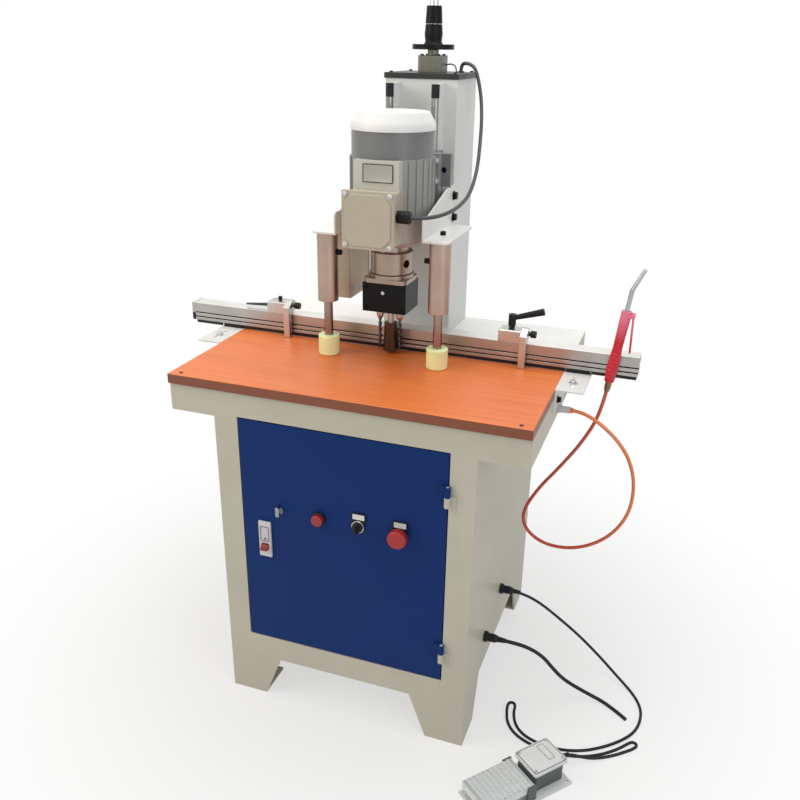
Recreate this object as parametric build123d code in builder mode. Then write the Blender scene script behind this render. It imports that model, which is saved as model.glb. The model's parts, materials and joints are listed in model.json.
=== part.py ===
# Hinge boring machine: a floor cabinet with a laminate table, a fence with two flip stops,
# and a column that carries a three-spindle boring head and two air clamps.
# Millimetres, +Z up, front towards -Y. The origin is on the floor, in the middle of the
# four anchor holes in the feet.
import math
import os

from build123d import *

os.makedirs("parts", exist_ok=True)

# Fits
running_fit = 0.05          # radial play of shafts, rods and pins
slide_gap = 0.3             # flat faces that move past each other
door_gap = 2.5              # shadow gap round the door

# Cabinet
sheet = 2.5
body_width = 590.0
body_depth = 634.0
apron_width = 800.0
apron_height = 64.0
apron_back_overhang = 9.0
foot_height = 111.0
foot_sheet = 5.0
foot_width = 90.0
foot_flare = 42.0
foot_plate = 6.0
anchor_hole_d = 14.0
table_thickness = 22.0
table_depth = 368.0
table_front_overhang = 7.0
table_edge_round = 2.0
deck_drop = 2.0
deck_joint = 2.0

# Door, hinges and lock
door_width = 474.0
door_height = 562.0
sill_height = 64.0
header_height = 60.0
door_depth = 20.0
door_sheet = 2.0
frame_return = 18.0
knuckle_r = 6.5
knuckle_length = 23.0
knuckle_clearance = 0.5
hinge_pin_r = 3.5
hinge_leaf = 3.0
hinge_leaf_width = 16.0
hinge_low_inset = 54.0
hinge_top_inset = 71.0
lock_inset = 91.0
lock_shaft_r = 6.0
lock_rose_r = 10.0
lock_rose = 4.0
wing_length = 24.0
wing_width = 9.0
wing_height = 9.0
tongue_overlap = 14.0
tongue_width = 18.0
tongue = 3.0
tongue_setback = 3.0

# Door controls
control_rise = 355.0           # above the door's lower edge
lamp_x = -50.0
selector_x = 42.0
stop_button_x = 137.0
panel_hole_d = 22.0
bezel_d = 30.0
bezel = 4.0
control_body_width = 30.0
control_body_depth = 42.0
lens_d = 27.0
lens_height = 15.0
selector_d = 23.0
selector_height = 8.0
grip_width = 6.0
grip_length = 20.0
grip_height = 11.0
mushroom_d = 42.0
mushroom_height = 16.0
mushroom_lift = 13.0
mushroom_stem_r = 8.0
mushroom_round = 5.0
button_travel = 6.0
breaker_x = -184.0
breaker_rise = 274.0
breaker_width = 30.0
breaker_length = 90.0
breaker_plate = 5.0
breaker_window_width = 20.0
breaker_window_length = 58.0
breaker_body_depth = 58.0
toggle_width = 16.0
toggle_r = 7.5
toggle_drop = 19.0
toggle_stand = 11.0
toggle_root = 4.0
toggle_tip = 2.5
toggle_pocket = 9.0
toggle_tilt = 18.0

# Column and lift
column_width = 170.0
column_depth = 158.0
column_wall = 6.0
column_floor = 10.0
column_height = 591.0
column_front = 165.0
cap_plate = 12.0
cap_overhang = 3.0
entry_x = 62.0
entry_y = 269.0
entry_r = 8.0
entry_height = 3.0
post_r = 8.0
post_spacing = 106.0
post_setback = 30.0
post_length = 321.0
post_drop = 8.0                # post top below the column top
post_head_r = 9.0
post_head = 28.0
web = 6.0
web_gap = 1.0
strip_width = 17.0
strip_depth = 57.0
strip_height = 77.0
strip_drop = 5.0
strip_inset = 5.0
lift_bore_d = 40.0
lift_tube_wall = 3.5
lift_cap_width = 56.0
lift_top_cap = 36.0
lift_low_cap = 25.0
lift_stroke = 80.0
lift_end_room = 17.0
lift_setback = 82.0
piston_height = 25.0
piston_rise = 1.0
rod_r = 10.0
neck_r = 13.0
neck_height = 12.0
rod_top_length = 137.0
arm_width = 30.0
arm_height = 40.0
arm_tail = 20.0
slot_margin = 3.0
flange_r = 48.0
flange_height = 11.0
nut_foot_r = 22.0
nut_waist_r = 19.0
nut_r = 20.8
nut_foot_height = 6.0
nut_height = 42.0
lock_nut_r = 19.4
lock_nut_top_r = 17.0
lock_nut_height = 37.0
nut_seat = 1.0

# Carriage and motor
carriage_width = 132.0
carriage_depth = 64.0
carriage_height = 148.0
carriage_drop = 23.0
carriage_edge = 3.0
mount_width = 204.0
mount_plate = 17.0
mount_height = 70.0
carriage_port_r = 6.5
carriage_port_drop = 35.0
carriage_port_inset = 16.0
shaft_height = 90.0
stator_r = 88.5
fin_tip_r = 92.0
fin_width = 3.0
fin_count = 30
motor_rise = 316.0             # stator above the table
stator_length = 127.0
stator_bore_r = 52.0
stator_top_wall = 12.0
motor_foot_inner = 40.0
motor_foot_outer = 82.0
motor_foot = 18.0
shield_height = 55.0
shield_bottom_r = 74.0
shield_round_rise = 16.0
shield_wall = 17.0
shield_hollow_r = 60.0
cowl_r = 88.0
cowl_wall = 3.5
cowl_height = 54.0
canopy_r = 90.5
canopy_lip = 11.0
canopy_top_r = 77.0
canopy_rise = 24.0
motor_shaft_r = 12.0
rotor_gap = 1.0
rotor_end_gap = 6.0
fan_r = 70.0
fan_height = 10.0
fan_lift = 13.0
shaft_tail = 33.0
box_width = 104.0
box_height = 109.0
box_drop = 41.0
box_depth = 45.5
neck_box_width = 100.0
neck_box_depth = 7.5
box_edge = 4.0
lid_margin = 5.0
lid_thickness = 9.0
lid_panel_inset = 7.0
lid_panel_corner = 17.0
lid_panel = 3.0
gland_r = 13.0
gland_length = 28.0
gland_drop = 48.0
gland_setback = 20.0
fin_clearance = 0.3

# Boring head
cup_distance = 22.5         # cup centre to the fence
screw_pitch = 48.0
screw_offset = 6.0
collar_r = 47.5
collar_height = 50.0
collar_spigot_r = 38.0
collar_spigot = 19.0
collar_foot_r = 50.0
collar_foot = 8.0
collar_bore_r = 30.0
collar_port_r = 9.0
collar_port_angle = -26.0
collar_edge = 2.0
cover_plate = 10.0
gearbox_width = 102.0
gearbox_depth = 88.0
gearbox_height = 65.0
gearbox_front = -64.0
gearbox_wall = 8.0
gearbox_corner = 14.0
gearbox_edge = 1.5
coupling_r = 22.0
spindle_r = 8.0
coupling_stub = 0.3
gear_teeth_count = 12
gear_width = 18.0
gear_lift = 14.0
tooth_out = 1.7
tooth_in = 2.5
tooth_root_width = 3.6
tooth_tip_width = 1.7
spindle_nose = 36.0
chuck_r = 8.75
chuck_length = 26.0
chuck_cone = 8.0
chuck_cone_r = 5.0
drill_r = 4.0
drill_point = 3.0
drill_length = 72.0
bit_holder_r = 15.5
bit_r = 17.5
bit_head = 22.0
bit_length = 65.5
bit_gullet = 9.0
bit_lip = 2.0
bit_lip_r = 15.5
bit_spur_r = 2.0
bit_spur = 2.0

# Clamps
clamp_spacing = 260.0
clamp_setback = 80.0
clamp_body_r = 23.0
clamp_body_length = 154.0
clamp_wall = 5.0
clamp_end = 10.0
clamp_rod_r = 10.0
clamp_piston = 15.0
pad_r = 24.0
pad_height = 46.0
pad_edge = 3.0
stud_r = 5.0
stud_length = 20.0
shelf_rise = 281.0             # clamp shelf above the table
bracket_sheet = 5.0
leg_sheet = 4.0
shelf_margin = 2.0              # shelf beyond the clamp cylinder
shelf_front = -102.0
shelf_back = 92.0
leg_back = 123.0
leg_front_height = 49.0
leg_back_height = 88.5
leg_front_run = 27.0
leg_back_run = 51.0
leg_corner = 14.0
shelf_corner = 10.0
valve_width = 54.0
valve_depth = 125.0
valve_height = 164.0
valve_front = -11.0
valve_edge = 5.0
valve_frame = 12.0
valve_recess = 2.0

# Fence and stops
fence_length = 1092.0
fence_center = 11.0
fence_front = 8.0
fence_depth = 40.0
fence_height = 44.0
fence_lift = 9.5
fence_wall = 3.5
groove = 3.0
groove_depth = 6.0
groove_low = 7.0
groove_high = 18.0
chamber_floor = 24.0
bracket_reach = 60.0
bracket_front = -105.0
bracket_drop = 54.0
bracket_plate = 3.0
bracket_slot = 9.0
bracket_slot_length = 60.0
spacer_inset = 5.0
left_stop_x = -304.0
right_stop_x = 272.5
stop_block_length = 52.0
stop_block_height = 26.0
stop_block_edge = 2.0
stop_grip_length = 68.0
stop_grip_r = 4.5
stop_grip_tip_r = 2.4
stop_grip_rise = 12.0
stop_grip_drop = 5.0
stop_arm_width = 15.0
stop_arm_depth = 15.0
stop_arm_gap = 4.0
stop_lug_r = 14.0
stop_pivot_back = 8.0
stop_pivot_rise = 21.0
stop_foot_gap = 0.5
knob_r = 8.0
knob_length = 12.0
knob_neck_r = 5.0
knob_neck = 5.0
top_knob_r = 6.0
top_knob_height = 7.0
top_knob_neck_r = 4.0
top_knob_neck = 2.5
top_knob_sides = 8
top_knob_taper = 8.0
lever_hub_r = 8.5
lever_hub_height = 26.0
lever_hub_foot_r = 6.5
lever_hub_foot = 6.0
lever_reach = 70.0
lever_rise = 22.0
lever_root_r = 5.5
lever_tip_r = 8.0
lever_start = 17.0

# Inside of the cabinet
gear_plate_width = 260.0
gear_plate_height = 220.0
gear_plate = 3.0
gear_plate_rise = 219.0
contactor_width = 90.0
contactor_height = 90.0
contactor_depth = 80.0
relay_width = 60.0
relay_height = 70.0
relay_depth = 55.0

# Glands and the hose fitting
upper_gland_y = -3.0
upper_gland_rise = 116.0
lower_gland_y = -154.0
lower_gland_rise = 80.0
gland_shank_r = 8.0
gland_hex_r = 13.0
gland_hex = 9.0
gland_nose_r = 10.0
gland_nose = 18.0
gland_nut = 5.0
hex_sides = 6
fitting_y = -39.0
fitting_drop = 47.0
fitting_hex_r = 9.0
fitting_hex = 9.0
fitting_nose_r = 7.5
fitting_nose = 19.0
fitting_shank_r = 6.0

# Cords
pedal_cable_d = 7.0
mains_lead_d = 9.0
air_hose_d = 8.0
motor_cable_d = 8.0
floor_gap = 0.2
gland_run = 24.0            # straight stretch of a cord out of its gland
gun_run = 66.0
entry_run = 17.0
bend_share = 0.45           # share of the shorter run that each end of a bend takes

# Foot pedal, in its own plane: local x runs back towards its cable
pedal_x = 479.4
pedal_y = -341.8
pedal_turn = 50.2
pedal_base_front = 180.0
pedal_base_back = 50.0
pedal_base_width = 104.0
pedal_base = 5.0
pedal_box_length = 78.0
pedal_box_width = 64.0
pedal_box_height = 47.0
pedal_box_edge = 5.0
pedal_lid_length = 90.0
pedal_lid_width = 75.0
pedal_lid = 8.0
pedal_ear_x = -58.0
pedal_ear_height = 42.0
pedal_ear = 5.0
pedal_ear_length = 22.0
pedal_pivot_z = 32.0
pedal_pin_r = 3.0
pedal_pin_end = 1.0
pedal_hole_r = 3.5
pedal_hole_inset = 9.0
treadle_length = 120.0
treadle_width = 84.0
treadle_tail = 8.0
treadle_top = 42.0
treadle_plate = 5.0
treadle_skirt = 18.0
treadle_wall = 3.0
treadle_ribs = 10
treadle_rib = 2.5
treadle_rib_height = 1.0
pedal_gland_r = 9.0
pedal_gland = 18.0
pedal_gland_z = 25.0

# Air gun, in its own plane: local z runs up the handle
gun_x = 498.5
gun_drop = 66.5
gun_tilt = 7.0
gun_stand_off = 3.0
gun_r = 12.5
gun_foot_r = 7.0
gun_foot = 12.0
gun_heel_r = 10.5
gun_belly = 44.0
gun_waist_r = 10.0
gun_waist = 92.0
gun_head_r = 11.0
gun_shoulder = 146.0
gun_length = 172.0
gun_hook_width = 12.0
gun_hook = 4.0
gun_hook_reach = 20.0
nozzle_r = 5.0
nozzle_tip_r = 4.2
nozzle_straight = 45.0
nozzle_length = 50.0
nozzle_bend = 18.0
gun_lever_width = 12.0
gun_lever_thickness = 4.0
gun_lever_length = 80.0
gun_lever_top = 164.0
gun_lever_angle = 8.0
gun_pivot_x = 15.5
gun_pivot_r = 2.0
gun_ear = 4.0

# Levels and places that follow from the sizes above
body_front = -body_depth / 2
body_back = body_depth / 2
door_bottom = foot_height + sill_height
frame_top = door_bottom + door_height + header_height
table_height = frame_top + table_thickness
apron_bottom = frame_top - apron_height
apron_back = body_back + apron_back_overhang
upper_gland_z = foot_height + upper_gland_rise
lower_gland_z = foot_height + lower_gland_rise
fitting_z = frame_top - fitting_drop
table_front = body_front - table_front_overhang
table_back = table_front + table_depth
deck_top = table_height - deck_drop
deck_front = table_back + deck_joint
anchor_x = (body_width - foot_width) / 2
anchor_y = (body_depth - foot_width) / 2
door_mid = door_bottom + door_height / 2
control_height = door_bottom + control_rise
breaker_height = door_bottom + breaker_rise
opening_width = door_width + 2 * door_gap
opening_height = door_height + 2 * door_gap
hinge_x = (door_width + door_gap) / 2
hinge_y = body_front - knuckle_r - knuckle_clearance
hinge_low = door_bottom + hinge_low_inset
hinge_high = door_bottom + door_height - hinge_top_inset - 2 * knuckle_length
lock_x = lock_inset - door_width / 2
door_back = body_front + door_depth
column_bottom = deck_top
column_top = column_bottom + column_height
column_back = column_front + column_depth
cap_top = column_top + cap_plate
axis_y = fence_front - cup_distance
carriage_front = axis_y + shaft_height
carriage_back = carriage_front + carriage_depth
stator_bottom = table_height + motor_rise
stator_top = stator_bottom + stator_length
carriage_bottom = stator_bottom - carriage_drop
carriage_top = carriage_bottom + carriage_height
box_bottom = stator_bottom - box_drop
post_y = carriage_front + post_setback
post_top = column_top - post_drop
post_bottom = post_top - post_length
lift_y = column_front + lift_setback
lift_bore_r = lift_bore_d / 2
lift_cap_top = cap_top + lift_top_cap
lift_tube_bottom = cap_top - lift_stroke - piston_height - lift_end_room
lift_low_bottom = lift_tube_bottom - lift_low_cap
neck_top = lift_cap_top + neck_height
rod_top = lift_cap_top + rod_top_length
arm_top = lift_low_bottom - lift_stroke - slot_margin
arm_bottom = arm_top - arm_height
flange_bottom = neck_top + slide_gap
shield_bottom = stator_bottom - shield_height
collar_top = shield_bottom - collar_spigot
collar_bottom = collar_top - collar_height
cover_top = collar_bottom - collar_foot
gearbox_top = cover_top - cover_plate
gearbox_bottom = gearbox_top - gearbox_height
gearbox_back = gearbox_front + gearbox_depth
coupling_split = (collar_top + collar_bottom) / 2
gear_bottom = gearbox_bottom + gearbox_wall + gear_lift
side_y = axis_y - screw_offset
gear_distance = math.hypot(screw_pitch / 2, screw_offset)
gear_angle = math.degrees(math.atan2(-screw_offset, screw_pitch / 2))
tooth_angle = 360 / gear_teeth_count
spindle_end = gearbox_bottom - spindle_nose
bit_bottom = spindle_end - bit_length
chuck_top = gearbox_bottom - slide_gap
chuck_bottom = chuck_top - chuck_length
shelf_bottom = table_height + shelf_rise
strip_bottom = shelf_bottom - strip_drop
leg_inner = column_width / 2 - strip_inset + strip_width
shelf_outer = clamp_spacing / 2 + clamp_body_r + shelf_margin
clamp_y = fence_front - clamp_setback
clamp_bottom = shelf_bottom - clamp_body_length
pad_bottom = table_height + slide_gap
pad_top = pad_bottom + pad_height
fence_bottom = table_height + fence_lift
fence_top = fence_bottom + fence_height
fence_back = fence_front + fence_depth
fence_middle = (fence_front + fence_back) / 2
stop_bottom = fence_top + slide_gap
stop_top = stop_bottom + stop_block_height
stop_pivot_y = fence_front + stop_pivot_back
stop_pivot_z = fence_top + stop_pivot_rise
gun_y = fence_front - gun_r - gun_stand_off
gun_z = fence_top - gun_drop


def front_plane(y):
    return Plane.XZ.offset(-y)


def side_plane(x):
    return Plane.YZ.offset(x)


def level(z):
    return Plane.XY.offset(z)


def span(low, high, mode=Mode.ADD):
    with Locations(((low[0] + high[0]) / 2, (low[1] + high[1]) / 2)):
        Rectangle(high[0] - low[0], high[1] - low[1], mode=mode)


def save(piece, label):
    piece.part.label = label
    export_step(piece.part, f"parts/{label}.step")


# Cabinet front: one T-shaped sheet with a return round the door and two hinge seats
with BuildPart() as front_frame:
    with BuildSketch(front_plane(body_front + sheet)):
        span((-apron_width / 2, apron_bottom), (apron_width / 2, frame_top))
        span((-body_width / 2, foot_height), (body_width / 2, apron_bottom))
        with Locations((0, door_mid)):
            Rectangle(opening_width, opening_height, mode=Mode.SUBTRACT)
    extrude(amount=sheet)
    with BuildSketch(front_plane(body_front + frame_return)):
        with Locations((0, door_mid)):
            Rectangle(opening_width + 2 * sheet, opening_height + 2 * sheet)
            Rectangle(opening_width, opening_height, mode=Mode.SUBTRACT)
    extrude(amount=frame_return - sheet)
    for hinge_z in (hinge_low, hinge_high):
        with BuildSketch(level(hinge_z)):
            with Locations((hinge_x, hinge_y)):
                Circle(knuckle_r)
            span((hinge_x, body_front - hinge_leaf), (hinge_x + hinge_leaf_width, body_front))
        extrude(amount=knuckle_length)
        with BuildSketch(level(hinge_z + knuckle_length)):
            with Locations((hinge_x, hinge_y)):
                Circle(hinge_pin_r)
        extrude(amount=knuckle_length)
save(front_frame, "front_frame")

# Side panels; the right one has the two gland holes
with BuildPart() as side_panels:
    for panel_x in (-body_width / 2, body_width / 2 - sheet):
        with BuildSketch(side_plane(panel_x)):
            span((body_front + sheet, foot_height), (body_back - sheet, apron_bottom))
        extrude(amount=sheet)
    with BuildSketch(side_plane(body_width / 2 - sheet)):
        with Locations((upper_gland_y, upper_gland_z), (lower_gland_y, lower_gland_z)):
            Circle(gland_shank_r + running_fit)
    extrude(amount=sheet, mode=Mode.SUBTRACT)
save(side_panels, "side_panels")

# Back and floor in one folded sheet
with BuildPart() as back_and_floor:
    with BuildSketch(front_plane(body_back)):
        span((-body_width / 2, foot_height), (body_width / 2, apron_bottom))
    extrude(amount=sheet)
    with BuildSketch(level(foot_height)):
        span((sheet - body_width / 2, body_front + sheet), (body_width / 2 - sheet, body_back - sheet))
    extrude(amount=sheet)
save(back_and_floor, "back_and_floor")

# Four tapered corner feet, each with a drilled floor plate
with BuildPart() as corner_feet:
    for side_x in (-1, 1):
        for side_y_sign in (-1, 1):
            outer_x = side_x * body_width / 2
            outer_y = side_y_sign * body_depth / 2
            face_y = outer_y if side_y_sign > 0 else outer_y + foot_sheet
            face_x = outer_x if side_x < 0 else outer_x - foot_sheet
            with BuildSketch(front_plane(face_y)):
                Polygon(
                    (outer_x, 0),
                    (outer_x, foot_height),
                    (outer_x - side_x * (foot_width + foot_flare), foot_height),
                    (outer_x - side_x * foot_width, 0),
                    align=None,
                )
            extrude(amount=foot_sheet)
            with BuildSketch(side_plane(face_x)):
                Polygon(
                    (outer_y, 0),
                    (outer_y, foot_height),
                    (outer_y - side_y_sign * (foot_width + foot_flare), foot_height),
                    (outer_y - side_y_sign * foot_width, 0),
                    align=None,
                )
            extrude(amount=foot_sheet)
    with BuildSketch():
        with GridLocations(2 * anchor_x, 2 * anchor_y, 2, 2):
            Rectangle(foot_width, foot_width)
    extrude(amount=foot_plate)
    with BuildSketch():
        with GridLocations(2 * anchor_x, 2 * anchor_y, 2, 2):
            Circle(anchor_hole_d / 2)
    extrude(amount=foot_plate, mode=Mode.SUBTRACT)
save(corner_feet, "corner_feet")

# Apron tray with the raised deck behind the table, open below
with BuildPart() as top_frame:
    with BuildSketch(level(apron_bottom)):
        span((-apron_width / 2, body_front + sheet), (apron_width / 2, apron_back))
    extrude(amount=apron_height)
    with BuildSketch(level(frame_top)):
        span((-apron_width / 2, deck_front), (apron_width / 2, apron_back))
    extrude(amount=deck_top - frame_top)
    with BuildSketch(level(apron_bottom)):
        span((sheet - apron_width / 2, body_front + sheet), (apron_width / 2 - sheet, apron_back - sheet))
    extrude(amount=apron_height - sheet, mode=Mode.SUBTRACT)
    with BuildSketch(level(apron_bottom)):
        span((sheet - apron_width / 2, deck_front + sheet), (apron_width / 2 - sheet, apron_back - sheet))
    extrude(amount=deck_top - sheet - apron_bottom, mode=Mode.SUBTRACT)
    with BuildSketch(side_plane(apron_width / 2 - sheet)):
        with Locations((fitting_y, fitting_z)):
            Circle(fitting_shank_r + running_fit)
    extrude(amount=sheet, mode=Mode.SUBTRACT)
save(top_frame, "top_frame")

# Laminate table board
with BuildPart() as table_top:
    with BuildSketch(level(frame_top)):
        span((-apron_width / 2, table_front), (apron_width / 2, table_back))
    extrude(amount=table_thickness)
    fillet(table_top.faces().sort_by(Axis.Z)[-1].edges(), radius=table_edge_round)
save(table_top, "table_top")

# Column: welded box with a web behind each post, clamp strips and a slot for the lift arm
with BuildPart() as column:
    with BuildSketch(level(column_bottom)):
        span((-column_width / 2, column_front), (column_width / 2, column_back))
    extrude(amount=column_height)
    with BuildSketch(level(column_bottom + column_floor)):
        span(
            (column_wall - column_width / 2, column_front + column_wall),
            (column_width / 2 - column_wall, column_back - column_wall),
        )
    extrude(amount=column_height - column_floor, mode=Mode.SUBTRACT)
    with BuildSketch(level(post_bottom)):
        for post_x in (-post_spacing / 2, post_spacing / 2):
            span((post_x - web / 2, post_y), (post_x + web / 2, column_front))
    extrude(amount=post_length)
    with BuildSketch(level(strip_bottom)):
        for strip_x in (-leg_inner, leg_inner - strip_width):
            span((strip_x, column_front - strip_depth), (strip_x + strip_width, column_front))
    extrude(amount=strip_height)
    with BuildSketch(level(post_bottom)):
        with Locations((-post_spacing / 2, post_y), (post_spacing / 2, post_y)):
            Circle(post_r + running_fit)
    extrude(amount=post_length, mode=Mode.SUBTRACT)
    with BuildSketch(level(post_top - post_head)):
        with Locations((-post_spacing / 2, post_y), (post_spacing / 2, post_y)):
            Circle(post_head_r + running_fit)
    extrude(amount=post_head, mode=Mode.SUBTRACT)
    with BuildSketch(front_plane(column_front + column_wall)):
        span(
            (-arm_width / 2 - slot_margin, arm_bottom - slot_margin),
            (arm_width / 2 + slot_margin, arm_top + lift_stroke + slot_margin),
        )
    extrude(amount=column_wall, mode=Mode.SUBTRACT)
save(column, "column")

# Plate on top of the column, with the entry boss of the motor cable
with BuildPart() as column_cap:
    with BuildSketch(level(column_top)):
        span(
            (-column_width / 2 - cap_overhang, column_front - cap_overhang),
            (column_width / 2 + cap_overhang, column_back + cap_overhang),
        )
        with Locations((0, lift_y)):
            Circle(lift_bore_r + lift_tube_wall + running_fit, mode=Mode.SUBTRACT)
    extrude(amount=cap_plate)
    with BuildSketch(level(cap_top)):
        with Locations((entry_x, entry_y)):
            Circle(entry_r)
    extrude(amount=entry_height)
save(column_cap, "column_cap")

# Two ground guide posts with wider stop heads
with BuildPart() as guide_posts:
    with BuildSketch(level(post_bottom)):
        with Locations((-post_spacing / 2, post_y), (post_spacing / 2, post_y)):
            Circle(post_r)
    extrude(amount=post_length)
    with BuildSketch(level(post_top - post_head)):
        with Locations((-post_spacing / 2, post_y), (post_spacing / 2, post_y)):
            Circle(post_head_r)
    extrude(amount=post_head)
save(guide_posts, "guide_posts")

# Lift cylinder: tube hung in the column, with its square end cap on the column plate
with BuildPart() as lift_cylinder:
    with BuildSketch(level(lift_low_bottom)):
        with Locations((0, lift_y)):
            Rectangle(lift_cap_width, lift_cap_width)
    extrude(amount=lift_low_cap)
    with BuildSketch(level(lift_tube_bottom)):
        with Locations((0, lift_y)):
            Circle(lift_bore_r + lift_tube_wall)
    extrude(amount=cap_top - lift_tube_bottom)
    with BuildSketch(level(cap_top)):
        with Locations((0, lift_y)):
            RectangleRounded(lift_cap_width, lift_cap_width, valve_edge)
    extrude(amount=lift_top_cap)
    with BuildSketch(level(lift_cap_top)):
        with Locations((0, lift_y)):
            Circle(neck_r)
    extrude(amount=neck_height)
    with BuildSketch(level(lift_tube_bottom)):
        with Locations((0, lift_y)):
            Circle(lift_bore_r)
    extrude(amount=cap_top - lift_tube_bottom, mode=Mode.SUBTRACT)
    with BuildSketch(level(lift_low_bottom)):
        with Locations((0, lift_y)):
            Circle(rod_r + running_fit)
    extrude(amount=neck_top - lift_low_bottom, mode=Mode.SUBTRACT)
save(lift_cylinder, "lift_cylinder")

# Clamp brackets: a slanted upright leg bolted to the column strip, and a shelf
with BuildPart() as clamp_brackets:
    for bracket_side in (-1, 1):
        leg_x = leg_inner if bracket_side > 0 else -leg_inner - leg_sheet
        with BuildSketch(side_plane(leg_x)):
            with BuildLine():
                FilletPolyline(
                    (leg_back, shelf_bottom),
                    (shelf_front, shelf_bottom),
                    (shelf_front, shelf_bottom + leg_front_height),
                    (shelf_front + leg_front_run, shelf_bottom + leg_front_height),
                    (leg_back - leg_back_run, shelf_bottom + leg_back_height),
                    (leg_back, shelf_bottom + leg_back_height),
                    radius=(leg_sheet, leg_corner / 2, leg_corner, leg_corner),
                )
                Line((leg_back, shelf_bottom + leg_back_height), (leg_back, shelf_bottom))
            make_face()
        extrude(amount=leg_sheet)
        with BuildSketch(level(shelf_bottom)):
            shelf_low = bracket_side * leg_inner
            shelf_high = bracket_side * shelf_outer
            span((min(shelf_low, shelf_high), shelf_front), (max(shelf_low, shelf_high), shelf_back))
        extrude(amount=bracket_sheet)
    corner_edges = clamp_brackets.edges().filter_by(Axis.Z).filter_by(
        lambda edge: abs(abs(edge.center().X) - shelf_outer) < leg_sheet
    )
    fillet(corner_edges, radius=shelf_corner)
save(clamp_brackets, "clamp_brackets")

# Clamp cylinders: closed tubes hung under the shelves
with BuildPart() as clamp_cylinders:
    with BuildSketch(level(clamp_bottom)):
        with Locations((-clamp_spacing / 2, clamp_y), (clamp_spacing / 2, clamp_y)):
            Circle(clamp_body_r)
    extrude(amount=clamp_body_length)
    with BuildSketch(level(clamp_bottom + clamp_end)):
        with Locations((-clamp_spacing / 2, clamp_y), (clamp_spacing / 2, clamp_y)):
            Circle(clamp_body_r - clamp_wall)
    extrude(amount=clamp_body_length - 2 * clamp_end, mode=Mode.SUBTRACT)
    with BuildSketch(level(clamp_bottom)):
        with Locations((-clamp_spacing / 2, clamp_y), (clamp_spacing / 2, clamp_y)):
            Circle(clamp_rod_r + running_fit)
    extrude(amount=clamp_end, mode=Mode.SUBTRACT)
save(clamp_cylinders, "clamp_cylinders")

# Clamp rods with their pistons, and the pads screwed on below
for clamp_name, clamp_x in (("left", -clamp_spacing / 2), ("right", clamp_spacing / 2)):
    with BuildPart() as clamp_rod:
        with BuildSketch(level(pad_top - stud_length)):
            with Locations((clamp_x, clamp_y)):
                Circle(stud_r)
        extrude(amount=stud_length)
        with BuildSketch(level(pad_top)):
            with Locations((clamp_x, clamp_y)):
                Circle(clamp_rod_r)
        extrude(amount=clamp_bottom + clamp_end + slide_gap - pad_top)
        with BuildSketch(level(clamp_bottom + clamp_end + slide_gap)):
            with Locations((clamp_x, clamp_y)):
                Circle(clamp_body_r - clamp_wall - running_fit)
        extrude(amount=clamp_piston)
    save(clamp_rod, f"{clamp_name}_clamp_rod")
    with BuildPart() as pad:
        with BuildSketch(level(pad_bottom)):
            with Locations((clamp_x, clamp_y)):
                Circle(pad_r)
        extrude(amount=pad_height)
        fillet(pad.edges().filter_by(GeomType.CIRCLE), radius=pad_edge)
        with BuildSketch(level(pad_top - stud_length)):
            with Locations((clamp_x, clamp_y)):
                Circle(stud_r + running_fit)
        extrude(amount=stud_length, mode=Mode.SUBTRACT)
    save(pad, f"{clamp_name}_pad")

# Air valve housing under the left shelf, with a framed cover on its inner side
with BuildPart() as valve_box:
    with BuildSketch(level(shelf_bottom - valve_height)):
        span(
            (-leg_inner - leg_sheet - valve_width, valve_front),
            (-leg_inner - leg_sheet, valve_front + valve_depth),
        )
    extrude(amount=valve_height)
    fillet(valve_box.edges().filter_by(Axis.Z), radius=valve_edge)
    with BuildSketch(side_plane(-leg_inner - leg_sheet - valve_recess)):
        span(
            (valve_front + valve_frame, shelf_bottom - valve_height + valve_frame),
            (valve_front + valve_depth - valve_frame, shelf_bottom - valve_frame),
        )
    extrude(amount=valve_recess, mode=Mode.SUBTRACT)
save(valve_box, "valve_box")

# Fence: an aluminium extrusion with two grooves and open chambers
with BuildPart() as fence_rail:
    with BuildSketch(side_plane(fence_center - fence_length / 2)):
        span((fence_front, fence_bottom), (fence_back, fence_top))
        for groove_z in (groove_low, groove_high):
            span(
                (fence_front, fence_bottom + groove_z),
                (fence_front + groove_depth, fence_bottom + groove_z + groove),
                mode=Mode.SUBTRACT,
            )
        span(
            (fence_front + fence_wall, fence_bottom + chamber_floor),
            (fence_back - fence_wall, fence_top - fence_wall),
            mode=Mode.SUBTRACT,
        )
        span(
            (fence_front + groove_depth + fence_wall, fence_bottom + fence_wall),
            (fence_back - fence_wall, fence_bottom + chamber_floor - fence_wall),
            mode=Mode.SUBTRACT,
        )
    extrude(amount=fence_length)
save(fence_rail, "fence_rail")

# Angle brackets that carry the fence beside the table
with BuildPart() as fence_brackets:
    for bracket_side in (-1, 1):
        inner_x = bracket_side * apron_width / 2
        plate_x = bracket_side * (apron_width / 2 + bracket_plate)
        outer_x = bracket_side * (apron_width / 2 + bracket_reach)
        block_x = bracket_side * (apron_width / 2 + spacer_inset)
        block_end = bracket_side * (apron_width / 2 + bracket_reach - spacer_inset)
        with BuildSketch(level(table_height - bracket_drop)):
            span((min(inner_x, plate_x), bracket_front), (max(inner_x, plate_x), fence_back))
        extrude(amount=bracket_drop)
        with BuildSketch(level(table_height - bracket_plate)):
            span((min(inner_x, outer_x), bracket_front), (max(inner_x, outer_x), fence_back))
            with Locations(((inner_x + outer_x) / 2, (bracket_front + fence_front) / 2)):
                SlotOverall(bracket_slot_length, bracket_slot, rotation=90, mode=Mode.SUBTRACT)
        extrude(amount=bracket_plate)
        with BuildSketch(level(table_height)):
            span((min(block_x, block_end), fence_front), (max(block_x, block_end), fence_back))
        extrude(amount=fence_lift)
save(fence_brackets, "fence_brackets")

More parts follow.
